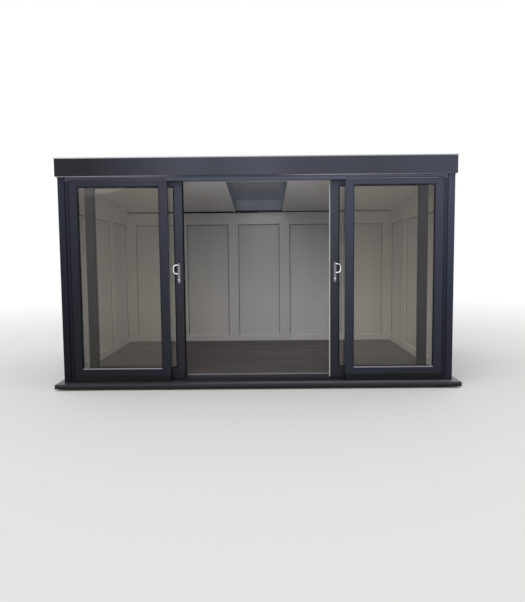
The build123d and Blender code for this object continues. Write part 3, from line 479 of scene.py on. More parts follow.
@dataclass(frozen=True)
class SillVinyl(Finish):
    """Near-black extruded vinyl of the ledge around the foot of the pod.

    Its level top is painted paler as a painted highlight, more of it towards the right-hand end.
    The nose below is painted lighter at its bend, a painted highlight, and darker along its lower
    edge, a painted shade.
    """

    name: str = "dark_sill_vinyl"
    colour: str = "#323238"
    top_highlight: str = "#67676d"
    nose_shade_z: Pair = (0.020, 0.062)
    nose_shade_tones: Pair = (0.08, 1.3)
    highlight_x: Pair = (-1.3, 1.0)
    highlight_tones: Pair = (0.35, 0.95)
    top_z: Pair = (0.0650, 0.0685)
    speck: float = 0.01
    speck_tones: Pair = (0.75, 1.2)
    shine: float = 0.15
    rough: Pair = (0.26, 0.38)

    def surface(self, tree: Tree) -> Socket:
        """Adds the ledge's nodes.

        Args:
            tree: The material's empty node tree.

        Returns:
            The shader.
        """
        axes = pod_axes(tree)
        specks = grain(tree, Run.ACROSS, self.speck, 4.0)
        # Painted shade low on the nose, a painted highlight at its bend, and one on the top growing
        # right.
        nose_shade, drift, top = (
            add_node(
                tree,
                "ShaderNodeMapRange",
                {"Value": axes[axis], "From Min": a, "From Max": b, "To Min": low, "To Max": high},
            )["Result"]
            for axis, (a, b), (low, high) in (
                ("Z", self.nose_shade_z, self.nose_shade_tones),
                ("X", self.highlight_x, self.highlight_tones),
                ("Z", self.top_z, (0.0, 1.0)),
            )
        )
        nose, layer = (
            add_node(tree, "ShaderNodeVectorMath", tone, operation="SCALE")[0]
            for tone in (
                {0: linear(self.colour)[:3], "Scale": nose_shade},
                {0: linear(self.top_highlight)[:3], "Scale": drift},
            )
        )
        layer = shaded(tree, layer, specks, *self.speck_tones)
        colour = add_node(tree, "ShaderNodeMix", {0: top, 6: nose, 7: layer}, data_type="RGBA")[2]
        values = {"Base Color": colour, "IOR": 1.5, "Specular IOR Level": self.shine}
        return skin(tree, values, specks, self.rough)


@dataclass(frozen=True)
class ShaftBoard(Finish):
    """Smooth moulded lining boards of the rooflight shaft.

    They are a cool pale grey inside the shaft. Their lower edges are painted white like the ceiling
    around them, so the shaft has a thin white rim.
    """

    rim_z: float
    fall: float
    name: str = "shaft_board"
    colour: str = "#797f88"
    rim: str = "#e5e5e5"
    cloud_size: float = 0.3
    cloud_tones: Pair = (0.97, 1.03)
    rough: Pair = (0.46, 0.56)

    def surface(self, tree: Tree) -> Socket:
        """Adds the lining's nodes.

        Args:
            tree: The material's empty node tree.

        Returns:
            The shader.
        """
        axes = pod_axes(tree)
        slope = {0: axes["Y"], 1: self.fall, 2: axes["Z"]}
        level = add_node(tree, "ShaderNodeMath", slope, operation="MULTIPLY_ADD")[0]
        edge = add_node(tree, "ShaderNodeMath", {0: level, 1: self.rim_z}, operation="LESS_THAN")[0]
        tones = {0: edge, 6: linear(self.colour), 7: linear(self.rim)}
        colour = add_node(tree, "ShaderNodeMix", tones, data_type="RGBA")[2]
        cloud = grain(tree, Run.DEEP, self.cloud_size, 2.0)
        colour = shaded(tree, colour, cloud, *self.cloud_tones)
        return skin(tree, {"Base Color": colour, "IOR": 1.5}, cloud, self.rough)


@dataclass(frozen=True)
class PlainCoat(Finish):
    """A smooth even coat or moulding: ceiling board, threshold vinyl, rubber or roof sheet.

    The eye gets one tone that drifts slowly, and a roughness that breaks the shine a little.
    """

    name: str
    colour: str
    rough: float = 0.4
    # How far the roughness goes below and above that.
    rough_off: Pair = (-0.04, 0.06)
    drift: float = 0.05
    drift_size: float = 0.4
    speck: float = 0.004
    relief: Pair = (0.15, 0.0002)
    shine: float = 0.5

    def surface(self, tree: Tree) -> Socket:
        """Adds the coat's nodes.

        Args:
            tree: The material's empty node tree.

        Returns:
            The shader.
        """
        place = add_node(tree, "ShaderNodeTexCoord")["Object"]
        cloud, specks = (
            add_node(
                tree, "ShaderNodeTexNoise", {"Vector": place, "Scale": 1.0 / size, "Detail": 2.0}
            )["Fac"]
            for size in (self.drift_size, self.speck)
        )
        colour = linear(self.colour)[:3]
        colour = shaded(tree, colour, cloud, 1.0 - self.drift, 1.0 + self.drift)
        values = {"Base Color": colour, "IOR": 1.5, "Specular IOR Level": self.shine}
        rough = (self.rough + self.rough_off[0], self.rough + self.rough_off[1])
        return skin(tree, values, specks, rough, (specks, *self.relief))


@dataclass(frozen=True)
class LaminateBoards(Finish):
    """Laminate floor boards with a printed brown-grey wood grain under a hard clear wear layer.

    The boards run from left to right. Each has its own tone, with long drawn-out grain, and the
    closed joints show as fine dark lines. The wear layer gives a low soft shine.
    """

    name: str = "laminate_boards"
    light: str = "#5c5255"
    dark: str = "#463d40"
    seam: str = "#2a2425"
    length: float = 1.38
    width: float = 0.19
    # Each row starts this share of a board further along.
    stagger: float = 0.37
    # The real joint is under 1 mm wide. It is drawn at 3 mm, so that it shows.
    joint: float = 0.003
    joint_soft: float = 0.2
    # Grain lines about 8 mm apart across a board and drawn out along it.
    grain_gap: float = 0.02
    grain_tones: Pair = (0.8, 1.18)
    rough: Pair = (0.34, 0.5)
    relief: Pair = (0.3, 0.0005)

    def surface(self, tree: Tree) -> Socket:
        """Adds the floor's nodes.

        Args:
            tree: The material's empty node tree.

        Returns:
            The shader.
        """
        boards = add_node(
            tree,
            "ShaderNodeTexBrick",
            {
                "Vector": add_node(tree, "ShaderNodeTexCoord")["Object"],
                "Color1": linear(self.light),
                "Color2": linear(self.dark),
                "Mortar": linear(self.seam),
                "Scale": 1.0,
                "Mortar Size": self.joint / 2,
                "Mortar Smooth": self.joint_soft,
                "Bias": 0.0,
                "Brick Width": self.length,
                "Row Height": self.width,
            },
            offset=self.stagger,
            offset_frequency=2,
        )
        lines = grain(tree, Run.ACROSS, self.grain_gap, 5.0)
        colour = shaded(tree, boards["Color"], lines, *self.grain_tones)
        sunk = {0: lines, 1: boards["Fac"]}
        height = add_node(tree, "ShaderNodeMath", sunk, operation="SUBTRACT")[0]
        values = {"Base Color": colour, "IOR": 1.5}
        return skin(tree, values, lines, self.rough, (height, *self.relief))


@dataclass(frozen=True)
class SawnTimber(Finish):
    """Sawn softwood with a brown preservative. It is dull, with coarse grain along its length."""

    name: str = "sawn_timber"
    light: str = "#9a7c5a"
    dark: str = "#6c5238"
    # Growth rings cut lengthwise show as lines about 10 mm apart.
    grain_gap: float = 0.01
    rough: float = 0.85
    relief: Pair = (0.4, 0.001)

    def surface(self, tree: Tree) -> Socket:
        """Adds the timber's nodes.

        Args:
            tree: The material's empty node tree.

        Returns:
            The shader.
        """
        lines = grain(tree, Run.DEEP, self.grain_gap, 4.0)
        share = add_node(tree, "ShaderNodeMapRange", {"Value": lines, **NOISE_SPAN})["Result"]
        tones = {0: share, 6: linear(self.dark), 7: linear(self.light)}
        colour = add_node(tree, "ShaderNodeMix", tones, data_type="RGBA")[2]
        ridges = dict(zip(("Height", "Strength", "Distance"), (lines, *self.relief)))
        bump = add_node(tree, "ShaderNodeBump", ridges)["Normal"]
        values = {"Base Color": colour, "Roughness": self.rough, "Normal": bump}
        return add_node(tree, "ShaderNodeBsdfPrincipled", values)["BSDF"]


@dataclass(frozen=True)
class SatinMetal(Finish):
    """Aluminium or steel with fine lines along its length from the die, brush or polish."""

    name: str
    colour: str
    rough: Pair
    # Die lines are under 1 mm apart. They are drawn 3 mm apart, so that they show.
    line_gap: float = 0.003
    relief: Pair = (0.08, 0.0002)

    def surface(self, tree: Tree) -> Socket:
        """Adds the metal's nodes.

        Args:
            tree: The material's empty node tree.

        Returns:
            The shader.
        """
        lines = grain(tree, Run.ACROSS, self.line_gap)
        values = {"Base Color": linear(self.colour), "Metallic": 1.0}
        return skin(tree, values, lines, self.rough, (lines, *self.relief))


@dataclass(frozen=True)
class HandleChrome(Finish):
    """Bright chrome over a zinc casting, with a brushed plate and a polished grip.

    The plate is a soft mid grey. The grip is painted nearly white, a painted reflection of the open
    sky.
    """

    name: str = "handle_chrome"
    plate: str = "#7f8086"
    # The grip's colour is a painted reflection of the sky.
    grip: str = "#ececf0"
    # The grips are what stands further than plate_reach from the middle of the door.
    middle_y: float = -1.244
    plate_reach: float = 0.0385
    # Brush lines are under 1 mm apart. They are drawn 2 mm apart, so that they show.
    line_gap: float = 0.002
    rough: Pair = (0.26, 0.36)
    polish: float = 0.12

    def surface(self, tree: Tree) -> Socket:
        """Adds the handle's nodes.

        Args:
            tree: The material's empty node tree.

        Returns:
            The shader.
        """
        offset = {0: pod_axes(tree)["Y"], 1: self.middle_y}
        away = add_node(tree, "ShaderNodeMath", offset, operation="SUBTRACT")[0]
        reach = add_node(tree, "ShaderNodeMath", {0: away}, operation="ABSOLUTE")[0]
        limit = {0: reach, 1: self.plate_reach}
        held = add_node(tree, "ShaderNodeMath", limit, operation="GREATER_THAN")[0]
        tones = {0: held, 6: linear(self.plate), 7: linear(self.grip)}
        colour = add_node(tree, "ShaderNodeMix", tones, data_type="RGBA")[2]
        span = {"Value": grain(tree, Run.UPRIGHT, self.line_gap), **NOISE_SPAN}
        span["To Min"], span["To Max"] = self.rough
        brushed = add_node(tree, "ShaderNodeMapRange", span)["Result"]
        polished = {0: held, 1: -self.polish, 2: brushed}
        rough = add_node(tree, "ShaderNodeMath", polished, operation="MULTIPLY_ADD")[0]
        values = {"Base Color": colour, "Metallic": 1.0, "Roughness": rough}
        return add_node(tree, "ShaderNodeBsdfPrincipled", values)["BSDF"]


@dataclass(frozen=True)
class PaneGlass(Finish):
    """Float glass in a sealed double unit.

    It is clear or tinted in the mass and shows what is behind it with a faint tone. Its coating
    leaves only a faint mirror image. Lamp light passes through it to the room.
    """

    name: str
    colour: str
    through: str
    rough: float = 0.0
    # Low, because the coated panes mirror little of a white sky.
    ior: float = 1.32

    def surface(self, tree: Tree) -> Socket:
        """Adds the glass's nodes.

        Args:
            tree: The material's empty node tree.

        Returns:
            The shader.
        """
        values = {"Base Color": linear(self.colour), "Roughness": self.rough, "IOR": self.ior}
        values["Transmission Weight"] = 1.0
        glass = add_node(tree, "ShaderNodeBsdfPrincipled", values)["BSDF"]
        clear = add_node(tree, "ShaderNodeBsdfTransparent", {"Color": linear(self.through)})["BSDF"]
        path = add_node(tree, "ShaderNodeLightPath")
        rays = {0: path["Is Shadow Ray"], 1: path["Is Diffuse Ray"]}
        lamp = add_node(tree, "ShaderNodeMath", rays, operation="MAXIMUM")[0]
        return add_node(tree, "ShaderNodeMixShader", {0: lamp, 1: glass, 2: clear})[0]


@dataclass(frozen=True)
class StudioFloor(Finish):
    """Matt painted floor of the studio, which fades to the white of the sky far from the pod."""

    name: str = "studio_floor"
    colour: str = "#f1f1ef"
    rough: float = 0.9
    fade: Pair = (5.0, 12.0)

    def surface(self, tree: Tree) -> Socket:
        """Adds the floor's nodes.

        Args:
            tree: The material's empty node tree.

        Returns:
            The shader.
        """
        place = add_node(tree, "ShaderNodeTexCoord")["Object"]
        far = add_node(tree, "ShaderNodeVectorMath", {0: place}, operation="LENGTH")["Value"]
        span = {"Value": far, "From Min": self.fade[0], "From Max": self.fade[1]}
        fade = add_node(tree, "ShaderNodeMapRange", span)["Result"]
        parts = {0: fade, 1: background_share(tree)}
        share = add_node(tree, "ShaderNodeMath", parts, operation="MULTIPLY")[0]
        paint = {"Base Color": linear(self.colour), "Roughness": self.rough}
        pale = add_node(tree, "ShaderNodeBsdfPrincipled", paint)["BSDF"]
        white = add_node(tree, "ShaderNodeEmission", {"Color": linear("#ffffff")})["Emission"]
        return add_node(tree, "ShaderNodeMixShader", {0: share, 1: pale, 2: white})[0]


# Extruded rubber: deep black, dull, no colour of its own.
RUBBER = PlainCoat("black_rubber", "#101013", rough=0.7, shine=0.12)
# Clear float glass in two sheets with a thin coat that keeps heat in: very slightly warm, and a
# little of the light is lost.
CLEAR_GLASS = PaneGlass("clear_float_glass", "#f7f4ef", "#f7f4ef")


class Stock:
    """A mesh in the making, shaped by bmesh operators and then placed as one finished piece."""

    def __init__(self) -> None:
        """Starts with nothing on the bench."""
        self.mesh = bmesh.new()

    def block(self, low: Triple, high: Triple, edge: float = 0.0) -> Verts:
        """Adds a block between two corners.

        Args:
            low: Its lowest corner.
            high: Its highest corner.
            edge: Width of the bevel on all its edges.

        Returns:
            The block's vertices.
        """
        verts = bmesh.ops.create_cube(self.mesh, size=1.0)["verts"]
        bmesh.ops.scale(self.mesh, vec=Vector(high) - Vector(low), verts=verts)
        bmesh.ops.translate(self.mesh, vec=(Vector(high) + Vector(low)) / 2, verts=verts)
        if edge:
            made = bmesh.ops.bevel(
                self.mesh,
                geom=list({e for v in verts for e in v.link_edges}),
                offset=edge,
                offset_type="OFFSET",
                affect="EDGES",
                segments=2,
                profile=0.5,
                material=-1,
            )
            faces = {f for v in made["verts"] for f in v.link_faces}
            verts = list({v for f in faces for v in f.verts})
        return verts

    def ring(self, facing: Facing, middle: Triple, size: Pair, width: float, depth: float) -> Verts:
        """Adds a flat rectangular ring, such as a gasket around a pane.

        Args:
            facing: The direction that the ring faces.
            middle: Its middle.
            size: Its outer sizes, first across and then up, or front to back where it lies flat.
            width: Width of the ring's band.
            depth: Its thickness along the direction that it faces.

        Returns:
            The ring's vertices.
        """
        made = bmesh.ops.create_grid(self.mesh, x_segments=1, y_segments=1, size=0.5)
        verts = made["verts"]
        across, up = size if facing is not Facing.ALONG_X else (size[1], size[0])
        bmesh.ops.scale(self.mesh, vec=(across, up, 1.0), verts=verts)
        face = list({f for v in verts for f in v.link_faces})
        band = bmesh.ops.inset_region(
            self.mesh,
            faces=face,
            thickness=width,
            depth=0.0,
            use_boundary=True,
            use_even_offset=True,
        )["faces"]
        bmesh.ops.delete(self.mesh, geom=face, context="FACES")
        grown = bmesh.ops.extrude_face_region(self.mesh, geom=band)["geom"]
        top = [g for g in grown if isinstance(g, bmesh.types.BMVert)]
        bmesh.ops.translate(self.mesh, vec=(0.0, 0.0, depth), verts=top)
        bottom = {v for f in band if f.is_valid for v in f.verts}
        verts = list(set(top) | bottom)
        bmesh.ops.translate(self.mesh, vec=(0.0, 0.0, -depth / 2), verts=verts)
        angle, axis = facing.value
        bmesh.ops.rotate(self.mesh, matrix=Matrix.Rotation(angle, 3, axis), verts=verts)
        bmesh.ops.translate(self.mesh, vec=Vector(middle), verts=verts)
        return verts

    def pane_gaskets(self, x: Pair, z: Pair, faces: Pair, width: float, depth: float) -> None:
        """Adds a gasket around a pane, on both of its faces.

        Args:
            x: Both ends of the pane along X.
            z: Its foot and its top.
            faces: Its front and its back.
            width: Width of the gasket's band.
            depth: The gasket's thickness.
        """
        for y, step in zip(faces, (-1, 1)):
            self.ring(
                Facing.ALONG_Y,
                ((x[0] + x[1]) / 2, y + step * (depth / 2 + OFF), (z[0] + z[1]) / 2),
                (x[1] - x[0] - OFF, z[1] - z[0] - OFF),
                width,
                depth,
            )

    def disc(self, middle: Triple, radius: float, depth: float) -> None:
        """Adds a short round plug that faces the front.

        Args:
            middle: Its middle.
            radius: Its radius.
            depth: Its length along Y.
        """
        verts = bmesh.ops.create_cone(
            self.mesh,
            cap_ends=True,
            cap_tris=False,
            segments=24,
            radius1=radius,
            radius2=radius,
            depth=depth,
        )["verts"]
        bmesh.ops.rotate(self.mesh, matrix=Matrix.Rotation(math.pi / 2, 3, "X"), verts=verts)
        bmesh.ops.translate(self.mesh, vec=Vector(middle), verts=verts)

    def lean(self, verts: Verts, fall: float) -> None:
        """Leans vertices down towards the back, as the roof falls.

        Args:
            verts: The vertices.
            fall: How far the roof falls over a length of 1.
        """
        slope = Matrix.Identity(4)
        slope[2][1] = -fall
        bmesh.ops.transform(self.mesh, matrix=slope, verts=verts)

    def both_sides(self) -> None:
        """Adds the mirror image of everything on the bench across the middle of the pod."""
        geometry = [*self.mesh.verts, *self.mesh.edges, *self.mesh.faces]
        bmesh.ops.mirror(self.mesh, geom=geometry, axis="X", merge_dist=0.0)

    def swap_sides(self) -> None:
        """Turns everything on the bench into its mirror image across the middle of the pod."""
        bmesh.ops.scale(self.mesh, vec=(-1.0, 1.0, 1.0), verts=self.mesh.verts)

    def take_off(self, name: str, finish: Finish) -> bpy.types.Object:
        """Takes the mesh off the bench as an object of the scene.

        Args:
            name: The object's name.
            finish: Its finish.

        Returns:
            The object.
        """
        data = bpy.data.meshes.new(name)
        self.mesh.to_mesh(data)
        self.mesh.free()
        piece = bpy.data.objects.new(name, data)
        bpy.context.scene.collection.objects.link(piece)
        data.materials.append(finish.material())
        return piece

    def place(self, name: str, body: Body, finish: Finish, slot: str = "anthracite") -> None:
        """Finishes the piece and puts it on its body.

        Args:
            name: The piece's name.
            body: The body that it rides on.
            finish: Its finish.
            slot: Not used.
        """
        bmesh.ops.recalc_face_normals(self.mesh, faces=self.mesh.faces)
        piece = self.take_off(name, finish)
        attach(piece, body.value)
        LOG.info("%s: %d faces on %s", name, len(piece.data.polygons), body.value)


def dress(finish: Finish, *names: str) -> None:
    """Gives CAD nodes their finish.

    Args:
        finish: The finish.
        names: The nodes.
    """
    for name in names:
        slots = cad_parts[name].data.materials
        slots.clear()
        slots.append(finish.material())
        LOG.info("%s: %s", name, finish.name)


@dataclass
class FloorAndBase:
    """Base frame, deck, laminate, and the ledge around the foot of the walls."""

    half_width: float = 1.9965
    edge_y: float = -1.210
    floor_z: float = 0.131
    trim_t: float = 0.0008
    trim_h: float = 0.011
    trim_w: float = 0.012
    # The upright leg of the trim stands this far before the cut edge.
    trim_off: float = 0.0001

    def build(self) -> None:
        """Dresses the base and adds the bright trim along the floor's front edge."""
        dress(SawnTimber(), "base_frame", "floor_deck")
        dress(LaminateBoards(), "laminate_floor")
        dress(SillVinyl(), "front_ledge", "back_ledge", "side_ledges")
        self.trim()

    def trim(self) -> None:
        """Adds the thin angle that covers the cut edge of the laminate at the doors."""
        stock = Stock()
        low, high = self.floor_z + OFF, self.floor_z + OFF + self.trim_t
        bend = self.edge_y - self.trim_off
        for front, back, foot in (
            (self.edge_y - self.trim_t, bend, low - self.trim_h),
            (bend, self.edge_y + self.trim_w, low),
        ):
            stock.block((-self.half_width, front, foot), (self.half_width, back, high))
        # The same aluminium as the roof trim, in a darker grey, and worn rougher by feet.
        worn = SatinMetal("worn_trim_metal", "#8e8f94", (0.34, 0.46))
        stock.place("floor_edge_trim", Body.POD, worn, "rail_aluminium")


@dataclass
class FramedWalls:
    """Corner posts, sole rails, headers, and the three framed walls with their sunk panels."""

    back_bays: tuple[float, ...] = (-1.576, -0.788, 0.0, 0.788, 1.576)
    bay_half: float = 0.314
    side_bays: tuple[Pair, ...] = ((0.464, 1.170), (-0.402, 0.304), (-1.150, -0.562))
    # The seals also stand for the painted shadow lines at the recess edges.
    seal_w: float = 0.0055
    seal_d: float = 0.004
    # Each seal is this much shorter than its bay.
    play: float = 0.001
    # The foot of each seal lies in the groove of the rail below, so that water runs off over it.
    sunk: float = 0.006

    def build(self) -> None:
        """Dresses the walls and adds the seals around their panels, which also paint the shadow
        lines at the recess edges.
        """
        # The wall profiles carry the foil's painted light and shade, and painted shade on their
        # white side.
        upright = FoiledProfile("wall_profile_upright")
        across = FoiledProfile("wall_profile_across", run=Run.ACROSS)
        # The front posts' foil is darker, with a strong painted shade at the left-hand post, which
        # stands in deep shade, and painted light at the right-hand post.
        post = FoiledProfile(
            "front_post_profile", outer="#262935", left_tone=0.57, right_tone=1.75, shine=0.08
        )
        dress(post, "front_posts")
        dress(upright, "back_posts", "back_wall_frames", "left_wall_frames", "right_wall_frames")
        dress(across, "wall_sills", "wall_headers")
        # The panels' white side takes a stronger painted shade towards the ceiling.
        panel = FoiledProfile("wall_panel", inner="#e0e0e0", outer="#2d2f39", ceiling_shade=0.62)
        dress(panel, "back_wall_panels", "left_wall_panels", "right_wall_panels")
        back = Stock()
        bays = [(x - self.bay_half, x + self.bay_half) for x in self.back_bays]
        self.add_seals_and_shadow(back, Facing.ALONG_Y, "back_wall_panels", bays)
        back.place("back_wall_seals_and_shadow", Body.POD, RUBBER)
        sides = Stock()
        self.add_seals_and_shadow(sides, Facing.ALONG_X, "right_wall_panels", self.side_bays)
        sides.both_sides()
        sides.place("side_wall_seals_and_shadow", Body.POD, RUBBER)

    def add_seals_and_shadow(self, stock: Stock, facing: Facing, node: str, bays: list | tuple) -> None:
        """Adds the black seals around a wall's panels, inside and outside, which also paint the
        shadow lines at the recess edges.

        Args:
            stock: The piece that the seals go into.
            facing: The direction that the wall faces.
            node: The wall's panels.
            bays: Where each bay starts and ends along the wall.
        """
        low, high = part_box(node)
        along, through = (0, 1) if facing is Facing.ALONG_Y else (1, 0)
        height = high[2] - low[2] - 2 * OFF + self.sunk
        for start, end in bays:
            for face, step in ((low[through], -1), (high[through], 1)):
                middle = [0.0, 0.0, (low[2] + high[2] - self.sunk) / 2]
                middle[along] = (start + end) / 2
                middle[through] = face + step * self.seal_d / 2
                size = (end - start - self.play, height)
                stock.ring(facing, tuple(middle), size, self.seal_w, self.seal_d)


@dataclass
class DoorFrame:
    """Head, jambs, threshold, tracks and the two fixed panes of the glazed front."""

    glass_x: Pair = (1.040, 1.907)
    glass_z: Pair = (0.212, 2.181)
    glass_faces: Pair = (-1.326, -1.298)
    gasket_w: float = 0.005
    gasket_d: float = 0.005
    bead_y: Pair = (-1.3395, -1.3262)
    bead_h: float = 0.0135
    bead_play: float = 0.0005
    bead_edge: float = 0.004
    # The foot of the head's face, which the painted highlight strips lie on.
    head_y: float = -1.350
    strip_x: Pair = (0.905, 1.930)
    strip_z: Pair = (2.2430, 2.2480)
    strip_t: float = 0.0015
    strip_sunk: float = 0.0003
    strip_edge: float = 0.0004

    def build(self) -> None:
        """Dresses the door frame, and adds gaskets, beads and highlight strips at the fixed panes.

        The strips are a painted highlight.
        """
        # Jambs, head and fixed sashes carry painted light and shade along the front, each its own.
        jamb = FoiledProfile(
            "jamb_profile", outer="#222532", front=-1.244, left_tone=0.55, right_tone=1.2, shine=0.1
        )
        dress(jamb, "door_jambs")
        head = FoiledProfile("head_profile", outer="#3c3f4c", left_tone=0.7, run=Run.ACROSS)
        dress(head, "door_head")
        kerb = FoiledProfile("kerb_profile", outer="#1b1b21", shine=0.15, run=Run.ACROSS)
        dress(kerb, "fixed_kerbs")
        lip = FoiledProfile(
            "head_lip", outer="#6e7077", front=-1.205, half_width=3.0, run=Run.ACROSS
        )
        dress(lip, "head_channel")
        sash = FoiledProfile(
            "fixed_sash_profile",
            front=-1.2825,
            left_tone=0.536,
            right_tone=1.36,
            foot_tone=0.74,
            shine=0.1,
        )
        dress(sash, "left_fixed_sash", "right_fixed_sash")
        # The threshold is walked on: the same dark vinyl, slightly duller and greyer.
        tread = PlainCoat("threshold_vinyl", "#101014", rough=0.42, drift=0.08, shine=0.3)
        dress(tread, "door_threshold")
        dress(PlainCoat("floor_edge_vinyl", "#2c2c33", drift=0.06), "floor_edge_strip")
        # Running rails in black anodised aluminium.
        dress(SatinMetal("black_anodised_rail", "#3a3b40", (0.32, 0.46)), "track_rails")
        dress(CLEAR_GLASS, "fixed_glass")
        self.gaskets()
        self.bottom_beads()
        self.add_head_highlights()

    def gaskets(self) -> None:
        """Adds the black gaskets between the fixed glass and its sash, on both faces.

        Their lowest strip lies in the groove of the bottom rail, under the bead.
        """
        stock = Stock()
        height = (self.glass_z[0] - self.gasket_w, self.glass_z[1])
        stock.pane_gaskets(self.glass_x, height, self.glass_faces, self.gasket_w, self.gasket_d)
        stock.both_sides()
        stock.place("fixed_pane_gaskets", Body.POD, RUBBER)

    def bottom_beads(self) -> None:
        """Adds the glazing beads that hold the foot of both fixed panes, pale with a painted
        reflection.
        """
        stock = Stock()
        start, end = self.glass_x[0] + self.bead_play, self.glass_x[1] - self.bead_play
        front, back = self.bead_y
        low = self.glass_z[0] + OFF
        stock.block((start, front, low), (end, back, low + self.bead_h), self.bead_edge)
        stock.both_sides()
        # Smooth vinyl in pale grey with a slight violet cast, a painted reflection of the sky along
        # its slope.
        bead = PlainCoat("bead_vinyl_and_reflection", "#868692", rough=0.34)
        stock.place("fixed_pane_beads", Body.POD, bead)

    def add_head_highlights(self) -> None:
        """Adds thin pale strips along the foot of the head above both fixed panes: a painted
        highlight.
        """
        stock = Stock()
        stock.block(
            (self.strip_x[0], self.head_y - self.strip_t, self.strip_z[0]),
            (self.strip_x[1], self.head_y + self.strip_sunk, self.strip_z[1]),
            self.strip_edge,
        )
        stock.both_sides()
        # Paler than the head, as a painted highlight along its foot, faint on the left.
        strip = FoiledProfile("painted_highlight_strip", outer="#63636b", left_tone=0.15, right_tone=1.0)
        stock.place("head_highlight_strips", Body.POD, strip)


@dataclass
class SlidingDoor:
    """One sliding door: sash, glass, rollers, handle, gaskets, edge strip and keyholes.

    The left-hand door has a black bulb seal in the step of its leading edge, which fills the gap
    between the two closed doors. The right-hand door has the pale strip there that the bulb meets.
    Both are made for the right-hand side, and the left-hand one is turned into its mirror image.
    """

    body: Body
    glass_x: Pair = (0.893, 1.751)
    glass_z: Pair = (0.213, 2.181)
    glass_faces: Pair = (-1.258, -1.230)
    gasket_w: float = 0.005
    gasket_d: float = 0.006
    # The corner of the step in the leading edge, and how far the seal or the strip is from it.
    step_x: float = 0.800
    step_y: float = -1.244
    seal_x: Pair = (0.0135, 0.0002)
    seal_d: float = 0.010
    strip_x: Pair = (0.0088, 0.0032)
    strip_d: float = 0.0015
    strip_z: Pair = (0.097, 2.248)
    # The edges are rounded by this share of the thickness.
    strip_round: float = 0.15
    lock_x: float = 0.848
    lock_y: Pair = (-1.286, -1.202)
    lock_z: float = 1.185
    key_r: float = 0.0028
    key_t: float = 0.0008
    slit_half: float = 0.001
    slit_h: float = 0.008

    def build(self) -> None:
        """Dresses the door and adds its seals and keyholes."""
        prefix = self.body.value
        # The trailing stile stands behind the fixed sash, and its foil carries painted shade there;
        # the door also carries painted light and shade along the front.
        profile = FoiledProfile(
            "door_sash_profile",
            front=-1.2438,
            half_width=3.0,
            left_tone=0.7,
            right_tone=1.15,
            far_x=1.739,
            far_tone=0.4,
        )
        dress(profile, f"{prefix}_sash")
        dress(CLEAR_GLASS, f"{prefix}_glass")
        dress(HandleChrome(), f"{prefix}_handles")
        steel = SatinMetal(f"{prefix}_roller_steel", "#9b9b9d", (0.3, 0.45))
        dress(steel, f"{prefix}_rollers")
        self.gaskets()
        self.edge_strip()
        self.keyholes()

    def place(self, stock: Stock, name: str, finish: Finish) -> None:
        """Places a piece that was made for the right-hand door on this door.

        Args:
            stock: The piece.
            name: Its name, without the door's.
            finish: Its finish.
        """
        if self.body is Body.LEFT_DOOR:
            stock.swap_sides()
        stock.place(f"{self.body.value}_{name}", self.body, finish)

    def gaskets(self) -> None:
        """Adds the black gaskets around the glass, on both faces."""
        stock = Stock()
        stock.pane_gaskets(
            self.glass_x, self.glass_z, self.glass_faces, self.gasket_w, self.gasket_d
        )
        self.place(stock, "gaskets", RUBBER)

    def edge_strip(self) -> None:
        """Adds the bulb seal or the pale strip that lies in the step of the leading edge."""
        if self.body is Body.LEFT_DOOR:
            (far, near), depth, finish = self.seal_x, self.seal_d, RUBBER
        else:
            (far, near), depth = self.strip_x, self.strip_d
            finish = PlainCoat("right_door_strip_vinyl", "#f1f1f0")
        stock = Stock()
        stock.block(
            (self.step_x - far, self.step_y - depth, self.strip_z[0]),
            (self.step_x - near, self.step_y - OFF, self.strip_z[1]),
            depth * self.strip_round,
        )
        self.place(stock, "edge_strip", finish)

    def keyholes(self) -> None:
        """Adds the dark key slot of the lock cylinder on both faces of the door."""
        stock = Stock()
        x, z = self.lock_x, self.lock_z
        for y in self.lock_y:
            stock.disc((x, y, z), self.key_r, self.key_t)
            stock.block(
                (x - self.slit_half, y - self.key_t / 2, z - self.slit_h),
                (x + self.slit_half, y + self.key_t / 2, z),
            )
        self.place(stock, "keyholes", RUBBER)


